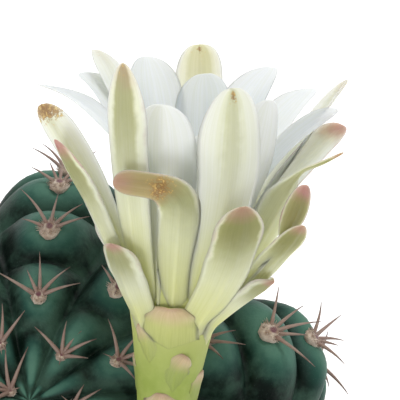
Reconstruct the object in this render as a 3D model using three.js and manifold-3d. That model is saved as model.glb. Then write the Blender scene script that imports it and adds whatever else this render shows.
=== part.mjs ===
// A chin cactus in flower, standing in a plain clay pot.
// Millimetres, +Z up. The origin is the middle of the pot's foot, and -Y is the front.

import * as THREE from 'three';
import { mergeVertices } from 'three/addons/utils/BufferGeometryUtils.js';
import Module from 'manifold-3d';

const wasm = await Module();
wasm.setup();

// ---------------------------------------------------------------- driving dimensions

const TAU = 2 * Math.PI;
const gap = 0.3; // clearance between pieces that touch

const pot = {
  height: 78,
  footRadius: 36,
  waistRadius: 48, // just under the rim band
  rimRadius: 54,
  rimHeight: 17,
  wall: 4,
  floor: 5,
  drainRadius: 3.5,
  drainCircle: 19,
  drains: 3,
  sides: 32,
};

const soil = {
  surface: 70, // height of the grit
  relief: 0.9,
  rings: 3,
};

const plant = {
  centreHeight: 94,
  radius: 53,
  halfHeight: 26.6,
  crownDip: 5,
  crownDipRadius: 10,
  ribs: 11,
  firstRibAngle: 2.637,
  columnsPerRib: 8,
  ribDepth: 8,
  ribDepthPerPitch: 0.42,
  swell: 2.1, // how far the tubercles stand out of the plain spheroid
  chinShare: 0.78, // part of the relief that rises and falls along a rib
  areolePhase: 1 / 3, // where the areole sits between one notch and the next
  padHeight: 1.1, // of the wool pad on each areole
  lastAreole: 1.75, // radians from the crown
  neckRadius: 13,
  neckLength: 12,
};

// Rows of areoles are counted outwards from the crown; this gives their angle from it, in radians.
const rowSpacing = { first: 0.07, step: 0.28, growth: 0.012 };

const spine = { radius: 0.42, shortest: 5.5, longest: 10, turns: [4, 42, -38, 82, -80], rise: 32, sunk: 1.2 };

const flower = {
  base: [23, -7.6, 29.7], // from the plant's centre
  leanBack: 51,
  leanRight: 4.9,
  footAngle: -18.5, // degrees round the plant, where it leaves the skin
  footRow: 1.31,
  collarHeight: 2.4, // of the woolly collar that carries the tube
  bendMiddle: 1,
  bendEnd: 8, // height where the tube runs straight
  clearRadius: 7, // no spine comes nearer to the tube's axis
  throatFloor: 15,
};

// Outside of the floral tube: height above the base, then radius.
const tubeProfile = [[0, 3.9], [5, 4.7], [10, 5.5], [16, 6.5], [20, 7.3], [26.6, 8.4]];
// The throat, from its rim down to its floor.
const throatProfile = [[26.6, 7.6], [24, 7.0], [19, 5.9], [16, 4.7]];

const rowLength = 7.6; // of the faces along a tepal
const hookRows = 7; // along a tepal that bends sharply
const outerThickness = 0.9;
const innerThickness = 0.7;
const scaleThickness = 0.8;

// Scales on the tube: turn from the front to the right, height of the root, length, width.
const tubeScales = [
  { turn: -10, root: 1.5, length: 6, width: 7 },
  { turn: 18, root: 8.5, length: 5.2, width: 5.4 },
  { turn: -58, root: 13, length: 5.4, width: 5 },
  { turn: -4, root: 15.5, length: 6.2, width: 7.4 },
  { turn: 78, root: 5, length: 5.4, width: 5.6 },
  { turn: 128, root: 10.5, length: 5.6, width: 5.8 },
  { turn: 178, root: 4, length: 5.2, width: 5.8 },
  { turn: -150, root: 12.5, length: 5.6, width: 6 },
  { turn: -100, root: 6.5, length: 5.4, width: 5.6 },
  { turn: 164, root: 15, length: 6, width: 6.4 },
];

// Tepals: turn from the front to the right, height of the root, length, width, lean outwards at
// the root and at the tip, sweep sideways, and roll about their own midrib. Degrees and mm.
// A hook gives the shares of the length between which a tepal bends aside, or outwards by its fold.
// A twist adds roll towards the tip. A larger tip number makes a blunter end.
const outerTepals = [
  { turn: -37, root: 21, length: 43.5, width: 7.3, lean: [23, 17], sweep: 8, roll: -5 },
  { turn: 28, root: 22, length: 39.5, width: 9.9, lean: [29, 6], sweep: -10, roll: 12, tip: 2.1 },
  { turn: 172, root: 22, length: 44.5, width: 8.2, lean: [27, 37], sweep: 9, roll: 0, tip: 3.4 },
  { turn: 110, root: 22, length: 41.5, width: 7.8, lean: [20, 37], sweep: 0, roll: 0 },
  { turn: 84, root: 21.4, length: 37.5, width: 8.2, lean: [22, 38], sweep: -14, roll: -25, tip: 2.3 },
  {
    turn: 72, root: 20.8, length: 42, width: 6.2, lean: [29, 16], sweep: -45, roll: 45,
    hook: [0.55, 0.73], fold: 41, twist: -40, tail: true,
  },
  { turn: 63, root: 20.8, length: 26.6, width: 4.6, lean: [49, 13], sweep: -4, roll: 45, claw: true },
  { turn: 70, root: 19.8, length: 24.5, width: 5.6, lean: [43, 37], sweep: -28, roll: 48 },
  { turn: 64, root: 18.5, length: 13.5, width: 6.4, lean: [44, 52], sweep: 0, roll: 18 },
  { turn: 34, root: 19.5, length: 26, width: 8.5, lean: [44, 19], sweep: -13, roll: 12 },
  {
    turn: -2, root: 21.6, length: 31, width: 6.8, lean: [16, 40], sweep: -86, roll: 4,
    hook: [0.53, 0.84], twist: -28, strap: true,
  },
  { turn: -44, root: 19, length: 15.5, width: 7.8, lean: [33, 31], sweep: 0, roll: -4 },
  { turn: -60, root: 20.2, length: 32.5, width: 5.6, lean: [25, 37], sweep: 0, roll: -10 },
  { turn: -76, root: 20.6, length: 36.5, width: 7.2, lean: [22, 37], sweep: 0, roll: -45, tip: 6 },
  { turn: -143, root: 22, length: 43, width: 8.3, lean: [22, 44], sweep: -2, roll: -28, tip: 2.3 },
  { turn: -20, root: 22, length: 20.5, width: 8, lean: [10, 12], sweep: 0, roll: 0, tip: 2.3 },
  { turn: 140, root: 19.5, length: 27, width: 6.4, lean: [42, 30], sweep: 4, roll: 0 },
  { turn: -165, root: 19.5, length: 24, width: 7, lean: [44, 26], sweep: -3, roll: 5 },
  { turn: -122, root: 19, length: 21, width: 6.2, lean: [46, 28], sweep: 3, roll: 0 },
];
const innerTepals = [
  { turn: -19, root: 23, length: 33, width: 10.4, lean: [13, 15], sweep: 0, roll: 0 },
  { turn: 53, root: 23, length: 35, width: 9.8, lean: [22, 9], sweep: -2, roll: 11 },
  { turn: 163, root: 24, length: 35.5, width: 10, lean: [20, 30], sweep: 14, roll: -3 },
  { turn: -166, root: 24, length: 38.5, width: 9.6, lean: [19, 38], sweep: 7, roll: -3 },
  { turn: 155, root: 24.4, length: 45, width: 9.4, lean: [6, 84], sweep: 0, roll: 10 },
  { turn: 132, root: 24.4, length: 43, width: 9.2, lean: [8, 80], sweep: 8, roll: 10 },
  { turn: 98, root: 23.5, length: 36.8, width: 6.6, lean: [4, 57], sweep: 0, roll: -4 },
  { turn: -100, root: 23, length: 38.5, width: 5.2, lean: [4, 54], sweep: 1, roll: -6 },
  { turn: -119, root: 24, length: 35.5, width: 8, lean: [20, 27], sweep: 4, roll: -6 },
];
// The innermost whorl stands upright round the stamens.
const heart = { count: 6, firstTurn: 16, root: 23.5, length: 28, width: 7.6, lean: [6, 18] };

const stamens = { count: 21, ringInner: 1.5, ringOuter: 3.5, ringTop: 17.4, radius: 0.28 };
const pistil = { radius: 0.85, stigmaHeight: 37.5, lobes: 8, lobeLength: 2.6, lobeRadius: 0.45 };

// ---------------------------------------------------------------- materials

const finish = (color, roughness) => new THREE.MeshStandardMaterial({ color, roughness, metalness: 0 });
const clay = finish(0xb4673f, 0.85);
const grit = finish(0x6b5a47, 0.95);
const skin = finish(0x3c6157, 0.55);
const tubeGreen = finish(0xb9c27e, 0.5);
const tepalWhite = finish(0xeef1f0, 0.5);
const pollenCream = finish(0xe9dca0, 0.7);
const styleGreen = finish(0xd9e0a8, 0.6);

// ---------------------------------------------------------------- helpers

const radians = THREE.MathUtils.degToRad;
const clamp = THREE.MathUtils.clamp;
const lerp = THREE.MathUtils.lerp;
const smoothstep = THREE.MathUtils.smoothstep;

// A small repeatable generator of numbers from 0 to 1.
function seededRandom(seed) {
  let state = seed;
  return () => {
    state = (state * 1664525 + 1013904223) % 4294967296;
    return state / 4294967296;
  };
}

function toSolid(geometry) {
  const bare = geometry.clone();
  bare.deleteAttribute('normal');
  bare.deleteAttribute('uv');
  const merged = mergeVertices(bare, 1e-4);
  const vertProperties = new Float32Array(merged.attributes.position.array);
  const triVerts = [];
  const index = merged.index.array;
  for (let i = 0; i < index.length; i += 3) {
    const [a, b, c] = [index[i], index[i + 1], index[i + 2]];
    if (a !== b && b !== c && c !== a) triVerts.push(a, b, c);
  }
  return new wasm.Manifold(new wasm.Mesh({ numProp: 3, vertProperties, triVerts: new Uint32Array(triVerts) }));
}

function toGeometry(solid) {
  const mesh = solid.getMesh();
  const geometry = new THREE.BufferGeometry();
  geometry.setAttribute('position', new THREE.BufferAttribute(new Float32Array(mesh.vertProperties), 3));
  geometry.setIndex(new THREE.BufferAttribute(new Uint32Array(mesh.triVerts), 1));
  return geometry;
}

// Joins solids in pairs, so that no single join grows long.
function joinAll(solids) {
  if (solids.length === 1) return solids[0];
  const middle = Math.floor(solids.length / 2);
  return joinAll(solids.slice(0, middle)).add(joinAll(solids.slice(middle)));
}

// Keeps the largest body and drops loose scraps left by a cut.
function largestBody(solid) {
  return solid.decompose().reduce((best, body) => (body.volume() > best.volume() ? body : best));
}

function moveVertices(geometry, move) {
  const positions = geometry.attributes.position;
  const point = new THREE.Vector3();
  for (let i = 0; i < positions.count; i += 1) {
    point.fromBufferAttribute(positions, i);
    move(point, i);
    positions.setXYZ(i, point.x, point.y, point.z);
  }
  return geometry;
}

// Spins [height, radius] points about Z.
function spun(profile, sides) {
  const points = profile.map(([height, radius]) => new THREE.Vector2(radius, height));
  return new THREE.LatheGeometry(points, sides).rotateX(Math.PI / 2);
}

// A thin closed sheet between two faces, both split into triangles alike.
function thinSheet(columns, rows, faceAt) {
  const positions = [];
  const index = [];
  const vertex = (side, row, column) => (side * (rows + 1) + row) * (columns + 1) + column;
  for (const side of [0, 1]) {
    for (let row = 0; row <= rows; row += 1) {
      for (let column = 0; column <= columns; column += 1) {
        positions.push(...faceAt((2 * column) / columns - 1, row / rows, side).toArray());
      }
    }
  }
  const quad = (a, b, c, d) => index.push(a, b, c, a, c, d);
  for (let row = 0; row < rows; row += 1) {
    for (let column = 0; column < columns; column += 1) {
      const corners = (side) => [
        vertex(side, row, column),
        vertex(side, row, column + 1),
        vertex(side, row + 1, column + 1),
        vertex(side, row + 1, column),
      ];
      const [a, b, c, d] = corners(1);
      quad(a, b, c, d);
      const [e, f, g, h] = corners(0);
      index.push(e, g, f, e, h, g);
    }
  }
  for (let row = 0; row < rows; row += 1) {
    quad(vertex(0, row, 0), vertex(1, row, 0), vertex(1, row + 1, 0), vertex(0, row + 1, 0));
    quad(vertex(1, row, columns), vertex(0, row, columns), vertex(0, row + 1, columns), vertex(1, row + 1, columns));
  }
  for (let column = 0; column < columns; column += 1) {
    quad(vertex(0, 0, column), vertex(0, 0, column + 1), vertex(1, 0, column + 1), vertex(1, 0, column));
    quad(vertex(1, rows, column), vertex(1, rows, column + 1), vertex(0, rows, column + 1), vertex(0, rows, column));
  }
  const geometry = new THREE.BufferGeometry();
  geometry.setAttribute('position', new THREE.Float32BufferAttribute(positions, 3));
  geometry.setIndex(index);
  return geometry;
}

// A three-sided needle or rod from one point to another.
function needle(from, to, radius, tipRadius = 0) {
  const along = new THREE.Vector3().subVectors(to, from);
  const rod = new THREE.CylinderGeometry(tipRadius, radius, along.length(), 3, 1);
  rod.translate(0, along.length() / 2, 0);
  rod.applyQuaternion(new THREE.Quaternion().setFromUnitVectors(new THREE.Vector3(0, 1, 0), along.normalize()));
  return toSolid(rod.translate(from.x, from.y, from.z));
}

function mesh(name, geometry, material) {
  const result = new THREE.Mesh(geometry, material);
  result.name = name;
  return result;
}

// ---------------------------------------------------------------- pot and soil

const bandBottom = pot.height - pot.rimHeight;
const innerRim = pot.rimRadius - pot.wall;
const innerWaist = pot.waistRadius - pot.wall;
const innerFoot = pot.footRadius - pot.wall;

function makePot() {
  const profile = [
    [0, 0],
    [0, pot.footRadius],
    [bandBottom, pot.waistRadius],
    [bandBottom + 1.5, pot.rimRadius],
    [pot.height - 1.5, pot.rimRadius],
    [pot.height, pot.rimRadius - 1],
    [pot.height, innerRim + 1],
    [pot.height - 1.5, innerRim],
    [bandBottom, innerWaist],
    [pot.floor, innerFoot],
    [pot.floor, 0],
  ];
  let body = toSolid(spun(profile, pot.sides));
  for (let i = 0; i < pot.drains; i += 1) {
    const turn = (TAU * i) / pot.drains;
    const drain = new THREE.CylinderGeometry(pot.drainRadius, pot.drainRadius, 3 * pot.floor, 12).rotateX(Math.PI / 2);
    drain.translate(pot.drainCircle * Math.cos(turn), pot.drainCircle * Math.sin(turn), 0);
    body = body.subtract(toSolid(drain));
  }
  return toGeometry(body);
}

// Height of the plain spheroid's underside at a distance from the axis.
function undersideHeight(radius) {
  return plant.centreHeight - plant.halfHeight * Math.sqrt(1 - (radius / plant.radius) ** 2);
}

function makeSoil() {
  const wallAt = (height) => lerp(innerFoot, innerWaist, (height - pot.floor) / (bandBottom - pot.floor));
  const bandWallAt = (height) => lerp(innerWaist, innerRim, (height - bandBottom) / (pot.rimHeight - 1.5));
  const neckFloor = plant.centreHeight - plant.halfHeight - plant.neckLength - gap;
  const neckHole = plant.neckRadius + gap;
  const holeEdge = plant.radius * Math.sqrt(1 - ((plant.centreHeight - soil.surface) / plant.halfHeight) ** 2);
  const outer = bandWallAt(soil.surface) - 2 * gap;
  const profile = [
    [pot.floor + gap, 0],
    [pot.floor + gap, wallAt(pot.floor) - gap],
    [bandBottom, innerWaist - 2 * gap],
    [soil.surface, outer],
  ];
  for (let ring = 1; ring <= soil.rings; ring += 1) {
    profile.push([soil.surface, lerp(outer, holeEdge + 3 * gap, ring / soil.rings)]);
  }
  // The hole follows the underside of the plant, and its neck.
  for (const share of [0.75, 0.45, 0.2]) {
    const radius = lerp(neckHole, holeEdge, share);
    profile.push([undersideHeight(radius) - 3 * gap, radius]);
  }
  profile.push([undersideHeight(neckHole) - 4 * gap, neckHole], [neckFloor, neckHole], [neckFloor, 0]);
  const random = seededRandom(7);
  const bumps = new Map();
  const lump = moveVertices(spun(profile, pot.sides), (point) => {
    const radius = Math.hypot(point.x, point.y);
    if (Math.abs(point.z - soil.surface) > 0.01 || radius > outer - 0.5 || radius < holeEdge + 1.5) return;
    const key = `${Math.round(point.x * 100)},${Math.round(point.y * 100)}`;
    if (!bumps.has(key)) bumps.set(key, soil.relief * (random() - 0.5) * 2);
    point.z += bumps.get(key);
  });
  return toGeometry(toSolid(lump));
}

// ---------------------------------------------------------------- plant body

const ribPitch = TAU / plant.ribs;

function crownAngle(row) {
  const { first, step, growth } = rowSpacing;
  if (row < 0) return first * (1 + Math.max(row, -1));
  return first + step * row + growth * row ** 2;
}

// Areoles of neighbouring ribs are staggered: each rib starts 6/11 of a spacing further out.
function ribOffset(rib) {
  const steps = (plant.ribs + 1) / 2;
  return ((((rib * steps) % plant.ribs) + plant.ribs) % plant.ribs) / plant.ribs;
}

// Relief of the ribs: 1 on top of a tubercle, 0 in the furrow between two ribs.
function ribRelief(across, row, offset) {
  const phase = (((row - offset + plant.areolePhase) % 1) + 1) % 1;
  const tubercle = Math.abs(Math.sin(Math.PI * phase ** 0.85)) ** 0.6;
  return (1 - Math.abs(across) ** 2.3) * (1 - plant.chinShare + plant.chinShare * tubercle);
}

// A point of the skin: `turn` in rib pitches round the plant, `row` in areole rows, or `angle`
// in radians from the crown where the rows have ended.
function skinPoint(turn, row, offset, angle = crownAngle(row)) {
  const rib = Math.round(turn);
  const across = 2 * (turn - rib);
  const around = plant.firstRibAngle + turn * ribPitch;
  const ring = plant.radius * Math.sin(angle);
  const point = new THREE.Vector3(ring * Math.cos(around), ring * Math.sin(around), plant.halfHeight * Math.cos(angle));
  const flat = plant.radius ** 2;
  const normal = new THREE.Vector3(point.x / flat, point.y / flat, point.z / plant.halfHeight ** 2).normalize();
  const depth = Math.min(plant.ribDepth, plant.ribDepthPerPitch * ring * ribPitch);
  const fade = 1 - smoothstep(angle, 1.75, 2.2);
  const relief = ribRelief(across, row, offset);
  const swell = Math.min(plant.swell, depth / 2);
  point.addScaledVector(normal, fade * (swell - depth * (1 - relief)));
  point.z += plant.centreHeight;
  if (angle < Math.PI / 2) point.z -= plant.crownDip * Math.exp(-((ring / plant.crownDipRadius) ** 2));
  return { point, normal };
}

// Rows of faces from one notch to the next, as parts of that stretch. One runs through the areole.
const notchSteps = [0, 0.14, plant.areolePhase, 0.7];
const ribbedRows = 7 * notchSteps.length;
// Below the ribs the underside is plain.
const plainAngles = [2.35, 2.6, 2.85, Math.PI];

function makeSkin() {
  const columns = plant.ribs * plant.columnsPerRib;
  const rows = ribbedRows + plainAngles.length;
  const sphere = new THREE.SphereGeometry(1, columns, rows);
  const uv = sphere.attributes.uv;
  return moveVertices(sphere, (target, i) => {
    const row = Math.round((1 - uv.getY(i)) * rows);
    const turn = uv.getX(i) * plant.ribs;
    const rib = Math.floor(turn + 0.5);
    // A furrow lies between two ribs and takes the mean of their offsets.
    const inFurrow = Math.abs(turn - Math.floor(turn) - 0.5) < 0.01;
    const offset = inFurrow ? (ribOffset(rib - 1) + ribOffset(rib)) / 2 : ribOffset(rib);
    // The stagger fades out towards the crown and the underside.
    const notch = Math.floor(row / notchSteps.length);
    const evenRow = notch - 1 + notchSteps[row % notchSteps.length];
    const stagger = smoothstep(evenRow, -1, 0.3) * (1 - smoothstep(evenRow, 4.4, 6));
    const rowsOut = evenRow + (offset - plant.areolePhase) * stagger;
    const plainAngle = plainAngles[row - ribbedRows - 1];
    const { point, normal } = skinPoint(row === 0 ? 0 : turn, rowsOut, offset, plainAngle ?? crownAngle(rowsOut));
    // The middle of a rib rises into a pad at each areole.
    const onMidRib = Math.abs(turn - Math.round(turn)) < 0.01;
    const onAreole = notch >= 1 && notchSteps[row % notchSteps.length] === plant.areolePhase;
    const areoled = crownAngle(rowsOut) < plant.lastAreole;
    if (onMidRib && onAreole && areoled) point.addScaledVector(normal, plant.padHeight);
    if (plainAngle === Math.PI) point.set(0, 0, plant.centreHeight - plant.halfHeight);
    target.copy(point);
  });
}

function clearOfFlower(from, to) {
  return [0.2, 0.4, 0.6, 0.8, 1].every((share) => {
    const point = from.clone().lerp(to, share).applyMatrix4(toFlower);
    return point.z < bendStart - 3 || Math.hypot(point.x, point.y) > flower.clearRadius;
  });
}

// The spines of one areole spread over the skin. None reaches the pot's rim or the flower.
function makeSpines({ point, normal }, random) {
  const down = new THREE.Vector3(0, 0, -1).addScaledVector(normal, normal.z).normalize();
  const side = new THREE.Vector3().crossVectors(down, normal);
  const needles = [];
  for (const turn of spine.turns) {
    const heading = radians(turn + 14 * (random() - 0.5));
    const rise = radians(spine.rise + 16 * (random() - 0.5));
    const length = lerp(spine.shortest, spine.longest, random());
    const direction = new THREE.Vector3()
      .addScaledVector(down, Math.cos(heading) * Math.cos(rise))
      .addScaledVector(side, Math.sin(heading) * Math.cos(rise))
      .addScaledVector(normal, Math.sin(rise));
    const root = point.clone().addScaledVector(direction, -0.4).addScaledVector(normal, -spine.sunk);
    const tip = point.clone().addScaledVector(direction, length);
    if (tip.z > pot.height + 2 && clearOfFlower(root, tip)) needles.push(needle(root, tip, spine.radius));
  }
  return needles;
}

const collarLength = 7;

// Where the flower leaves the plant.
function flowerFoot() {
  const turn = (radians(flower.footAngle) - plant.firstRibAngle + TAU) / ribPitch;
  return skinPoint(turn, flower.footRow, ribOffset(Math.round(turn)));
}

function makePlant() {
  const random = seededRandom(3);
  const solids = [toSolid(makeSkin())];
  const neckTop = plant.centreHeight - plant.halfHeight + 4;
  const neckBottom = plant.centreHeight - plant.halfHeight - plant.neckLength;
  solids.push(toSolid(spun([[neckBottom, 0], [neckBottom, plant.neckRadius], [neckTop, plant.neckRadius], [neckTop, 0]], 20)));
  for (let rib = 0; rib < plant.ribs; rib += 1) {
    const offset = ribOffset(rib);
    for (let row = offset; crownAngle(row) < plant.lastAreole; row += 1) {
      const seat = skinPoint(rib, row, offset);
      if (seat.point.distanceTo(footSeat.point) > 5) solids.push(...makeSpines(seat, random));
    }
  }
  // A woolly collar carries the flower.
  const collar = new THREE.CylinderGeometry(4.1, 4.8, collarLength, 12).rotateX(Math.PI / 2);
  collar.translate(0, 0, flower.collarHeight - collarLength / 2);
  collar.applyQuaternion(new THREE.Quaternion().setFromUnitVectors(new THREE.Vector3(0, 0, 1), collarAxis));
  solids.push(toSolid(collar.translate(footSeat.point.x, footSeat.point.y, footSeat.point.z)));
  return toGeometry(joinAll(solids));
}

// ---------------------------------------------------------------- flower

const flowerFrame = new THREE.Matrix4()
  .makeRotationFromEuler(new THREE.Euler(-radians(flower.leanBack), radians(flower.leanRight), 0))
  .setPosition(flower.base[0], flower.base[1], flower.base[2] + plant.centreHeight);

// The tube's middle line, in the flower's own frame: out of its woolly collar, then up its axis.
const toFlower = flowerFrame.clone().invert();
const footSeat = flowerFoot();
const bendMiddle = new THREE.Vector3(0, 0, flower.bendMiddle);
const collarAxis = bendMiddle.clone().applyMatrix4(flowerFrame).sub(footSeat.point).normalize();
const footPoint = footSeat.point.clone()
  .addScaledVector(collarAxis, flower.collarHeight + gap)
  .applyMatrix4(toFlower);
const bendTop = new THREE.Vector3(0, 0, flower.bendEnd);
const bendLine = new THREE.QuadraticBezierCurve3(footPoint, bendMiddle, bendTop);
const bendStart = flower.bendEnd - bendLine.getLength();

// Bends a point of the straight flower so that its foot meets the areole.
function bendFoot(point) {
  if (point.z >= flower.bendEnd) return;
  const share = clamp((point.z - bendStart) / (flower.bendEnd - bendStart), 0, 1);
  const centre = bendLine.getPoint(share);
  const along = bendLine.getTangent(share);
  const side = new THREE.Vector3(1, 0, 0).addScaledVector(along, -along.x).normalize();
  const back = new THREE.Vector3().crossVectors(along, side);
  const { x, y } = point;
  point.copy(centre).addScaledVector(side, x).addScaledVector(back, y);
}

function makeTube() {
  const profile = [[bendStart, 0], [bendStart, 3.4], [(bendStart + tubeProfile[0][0]) / 2, 3.6], ...tubeProfile];
  profile.push(...throatProfile, [flower.throatFloor, 0]);
  return toSolid(moveVertices(spun(profile, 22), bendFoot));
}

// Half the width of a tepal, as a part of its greatest half width. Tips end in a short straight edge.
function outline(share, tepal) {
  const roundEnd = (start, power, edge) => {
    const toTip = clamp((share - start) / (1 - start), 0, 1);
    return Math.max((1 - toTip ** power) ** 0.5, edge);
  };
  if (tepal.claw) { // a spoon on a thin dried stalk
    const spoon = Math.sin((Math.PI / 2) * clamp((share - 0.62) / 0.18, 0, 1));
    return lerp(0.16, 1, spoon) * roundEnd(0.8, 2, 0.4);
  }
  if (tepal.strap) { // a broad strap with a narrower end
    const narrowing = 1 - 0.36 * smoothstep(share, 0.62, 0.82);
    return lerp(0.55, 1, smoothstep(share, 0, 0.45)) * narrowing * roundEnd(0.9, 2.4, 0.6);
  }
  if (tepal.tail) return lerp(0.5, 1, smoothstep(share, 0, 0.36)) * (1 - 0.86 * smoothstep(share, 0.5, 0.68));
  const [widest, root, tip] = [0.76, 0.5, tepal.tip ?? 1.8];
  if (share < widest) return root + (1 - root) * Math.sin((Math.PI / 2) * (share / widest)) ** 1.15;
  return roundEnd(widest, tip, tip > 3 ? 0.6 : tip > 2 ? 0.4 : 0.25);
}

// A tepal is a thin curved blade; `spare` fattens it all round to cut a clearance.
function makeBlade(tepal, rootRadius, thickness, spare = 0) {
  const turn = radians(tepal.turn);
  const out = new THREE.Vector3(Math.sin(turn), -Math.cos(turn), 0);
  const across = new THREE.Vector3(Math.cos(turn), Math.sin(turn), 0);
  const up = new THREE.Vector3(0, 0, 1);
  const frames = [];
  const centre = out.clone().multiplyScalar(rootRadius).addScaledVector(up, tepal.root - spare);
  const length = tepal.length + 2 * spare;
  const bladeRows = tepal.hook || tepal.claw ? hookRows : Math.max(3, Math.round(tepal.length / rowLength));
  for (let row = 0; row <= bladeRows; row += 1) {
    const share = row / bladeRows;
    const bend = smoothstep(share, ...(tepal.hook ?? [0, 1]));
    const lean = radians(lerp(tepal.lean[0], tepal.lean[1], share) + (tepal.fold ?? 0) * bend);
    const sweep = radians(tepal.sweep) * bend;
    const inPlane = new THREE.Vector3().addScaledVector(out, Math.sin(lean)).addScaledVector(up, Math.cos(lean));
    const along = inPlane.clone().multiplyScalar(Math.cos(sweep)).addScaledVector(across, Math.sin(sweep));
    const normal = out.clone().multiplyScalar(Math.cos(lean)).addScaledVector(up, -Math.sin(lean));
    const wide = new THREE.Vector3().crossVectors(along, normal);
    if (wide.dot(across) < 0) wide.negate();
    const roll = radians(tepal.roll + (tepal.twist ?? 0) * smoothstep(share, 0.5, 0.75));
    const rolledWide = wide.clone().multiplyScalar(Math.cos(roll)).addScaledVector(normal, Math.sin(roll));
    const rolledNormal = normal.clone().multiplyScalar(Math.cos(roll)).addScaledVector(wide, -Math.sin(roll));
    if (row > 0) {
      const step = frames[row - 1].along.clone().add(along).multiplyScalar(length / bladeRows / 2);
      centre.add(step);
    }
    frames.push({ centre: centre.clone(), along, wide: rolledWide, normal: rolledNormal });
  }
  const cupping = tepal.cup ?? 0.28;
  return toSolid(thinSheet(2, bladeRows, (across2, share, side) => {
    const frame = frames[Math.round(share * bladeRows)];
    const half = (tepal.width / 2) * outline(share, tepal) + spare;
    const shell = (side - 0.5) * (thickness * (1 - 0.25 * share) + 2 * spare);
    return frame.centre.clone()
      .addScaledVector(frame.wide, half * across2)
      .addScaledVector(frame.normal, shell - cupping * half * across2 * across2);
  }));
}

const outerRoot = 7.1;
const innerRoot = 5.9;
const rounded = (tepal) => ({ ...tepal, tip: 2.3 });

function outerBlades(spare = 0) {
  return outerTepals.map((tepal) => makeBlade(tepal, outerRoot, outerThickness, spare));
}

function tubeRadius(height) {
  const above = tubeProfile.findIndex(([top]) => top >= height);
  const [lowHeight, lowRadius] = tubeProfile[Math.max(above - 1, 0)];
  const [topHeight, topRadius] = tubeProfile[Math.max(above, 1)];
  return lerp(lowRadius, topRadius, (height - lowHeight) / (topHeight - lowHeight));
}

// Scales lie nearly flat on the tube, with rounded ends.
function makeScale(tepal) {
  const blade = rounded({ ...tepal, lean: [10, 12], sweep: 0, roll: 0, cup: 0.3 });
  const solid = toGeometry(makeBlade(blade, tubeRadius(tepal.root) - 0.1, scaleThickness));
  return toSolid(moveVertices(solid, bendFoot));
}

function makeFloralTube() {
  return toGeometry(joinAll([makeTube(), ...tubeScales.map(makeScale), ...outerBlades()]));
}

function makeInnerTepals() {
  const reach = gap + 0.1;
  const ring = toSolid(spun([
    [18.6, 4.2], [18.6, 5.8 - reach], [24, 7 - reach], [25.4, 7.3 - reach], [25.4, 5.5], [24, 5.2], [18.6, 4.2],
  ], 22));
  const blades = innerTepals.map((tepal) => makeBlade(rounded(tepal), innerRoot, innerThickness));
  for (let i = 0; i < heart.count; i += 1) {
    const turn = heart.firstTurn + (360 * i) / heart.count;
    const length = heart.length - 2 * (i % 2);
    blades.push(makeBlade(rounded({ ...heart, turn, length, sweep: 0, roll: 0 }), innerRoot - 0.3, innerThickness));
  }
  const whorl = joinAll([ring, ...blades]);
  const clearance = joinAll([...outerBlades(gap)]);
  const throatWall = toSolid(spun([[16, 12], [28, 12], [27.5, 7.9 - reach], [24, 7 - reach], [16, 5.2 - reach], [16, 12]], 22));
  return toGeometry(largestBody(whorl.subtract(clearance).subtract(throatWall)));
}

function makeStamens() {
  const random = seededRandom(11);
  const bottom = 16 + gap;
  const { ringInner, ringOuter, ringTop } = stamens;
  const solids = [toSolid(spun([
    [bottom, ringInner], [bottom, ringOuter], [ringTop, ringOuter], [ringTop, ringInner], [bottom, ringInner],
  ], 20))];
  for (let i = 0; i < stamens.count; i += 1) {
    const share = (i + 0.5) / stamens.count;
    const turn = i * 2.39996;
    const root = lerp(ringInner + 0.4, ringOuter - 0.4, share);
    const reach = lerp(2.3, 4.7, share);
    const top = 34.5 - 5.5 * share + 2 * (random() - 0.5);
    const from = new THREE.Vector3(root * Math.cos(turn), root * Math.sin(turn), ringTop - 0.6);
    const to = new THREE.Vector3(reach * Math.cos(turn), reach * Math.sin(turn), top);
    solids.push(needle(from, to, stamens.radius, stamens.radius * 0.7));
    const anther = new THREE.OctahedronGeometry(0.55, 0).scale(1, 1, 1.5).translate(to.x, to.y, to.z);
    solids.push(toSolid(anther));
  }
  return toGeometry(joinAll(solids));
}

function makePistil() {
  const bottom = flower.throatFloor + gap;
  const { radius, stigmaHeight, lobes } = pistil;
  const style = [[bottom, 0], [bottom, radius], [stigmaHeight, radius * 1.2], [stigmaHeight + 0.8, 0]];
  const solids = [toSolid(spun(style, 8))];
  for (let i = 0; i < lobes; i += 1) {
    const turn = (TAU * i) / lobes;
    const from = new THREE.Vector3(0, 0, stigmaHeight - 0.2);
    const to = new THREE.Vector3(
      pistil.lobeLength * Math.cos(turn),
      pistil.lobeLength * Math.sin(turn),
      stigmaHeight + 1.6,
    );
    solids.push(needle(from, to, pistil.lobeRadius, pistil.lobeRadius * 0.7));
  }
  return toGeometry(joinAll(solids));
}

// ---------------------------------------------------------------- the whole plant in its pot

const bloom = new THREE.Group();
bloom.applyMatrix4(flowerFrame);
bloom.add(
  mesh('floral_tube', makeFloralTube(), tubeGreen),
  mesh('inner_tepals', makeInnerTepals(), tepalWhite),
  mesh('stamens', makeStamens(), pollenCream),
  mesh('pistil', makePistil(), styleGreen),
);

const model = new THREE.Group();
model.add(
  mesh('pot', makePot(), clay),
  mesh('soil', makeSoil(), grit),
  mesh('cactus_body', makePlant(), skin),
  bloom,
);

export default model;
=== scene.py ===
# %% [markdown]
# # A chin cactus in flower, in a plain clay pot
# The plant is a low ribbed globe. Every rib is cut into rounded tubercles, and each tubercle has a
# chin below its woolly spine cushion. One white flower stands on a smooth green tube.
# The solids are loaded first as a fixed frame. Every piece below is built in that frame, so it
# lands where the solid lies, and nothing has to be fitted afterwards.

# %% Load the fixed frame
import math
import random

import bmesh
import bpy
from mathutils import Matrix, Vector, noise


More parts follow.
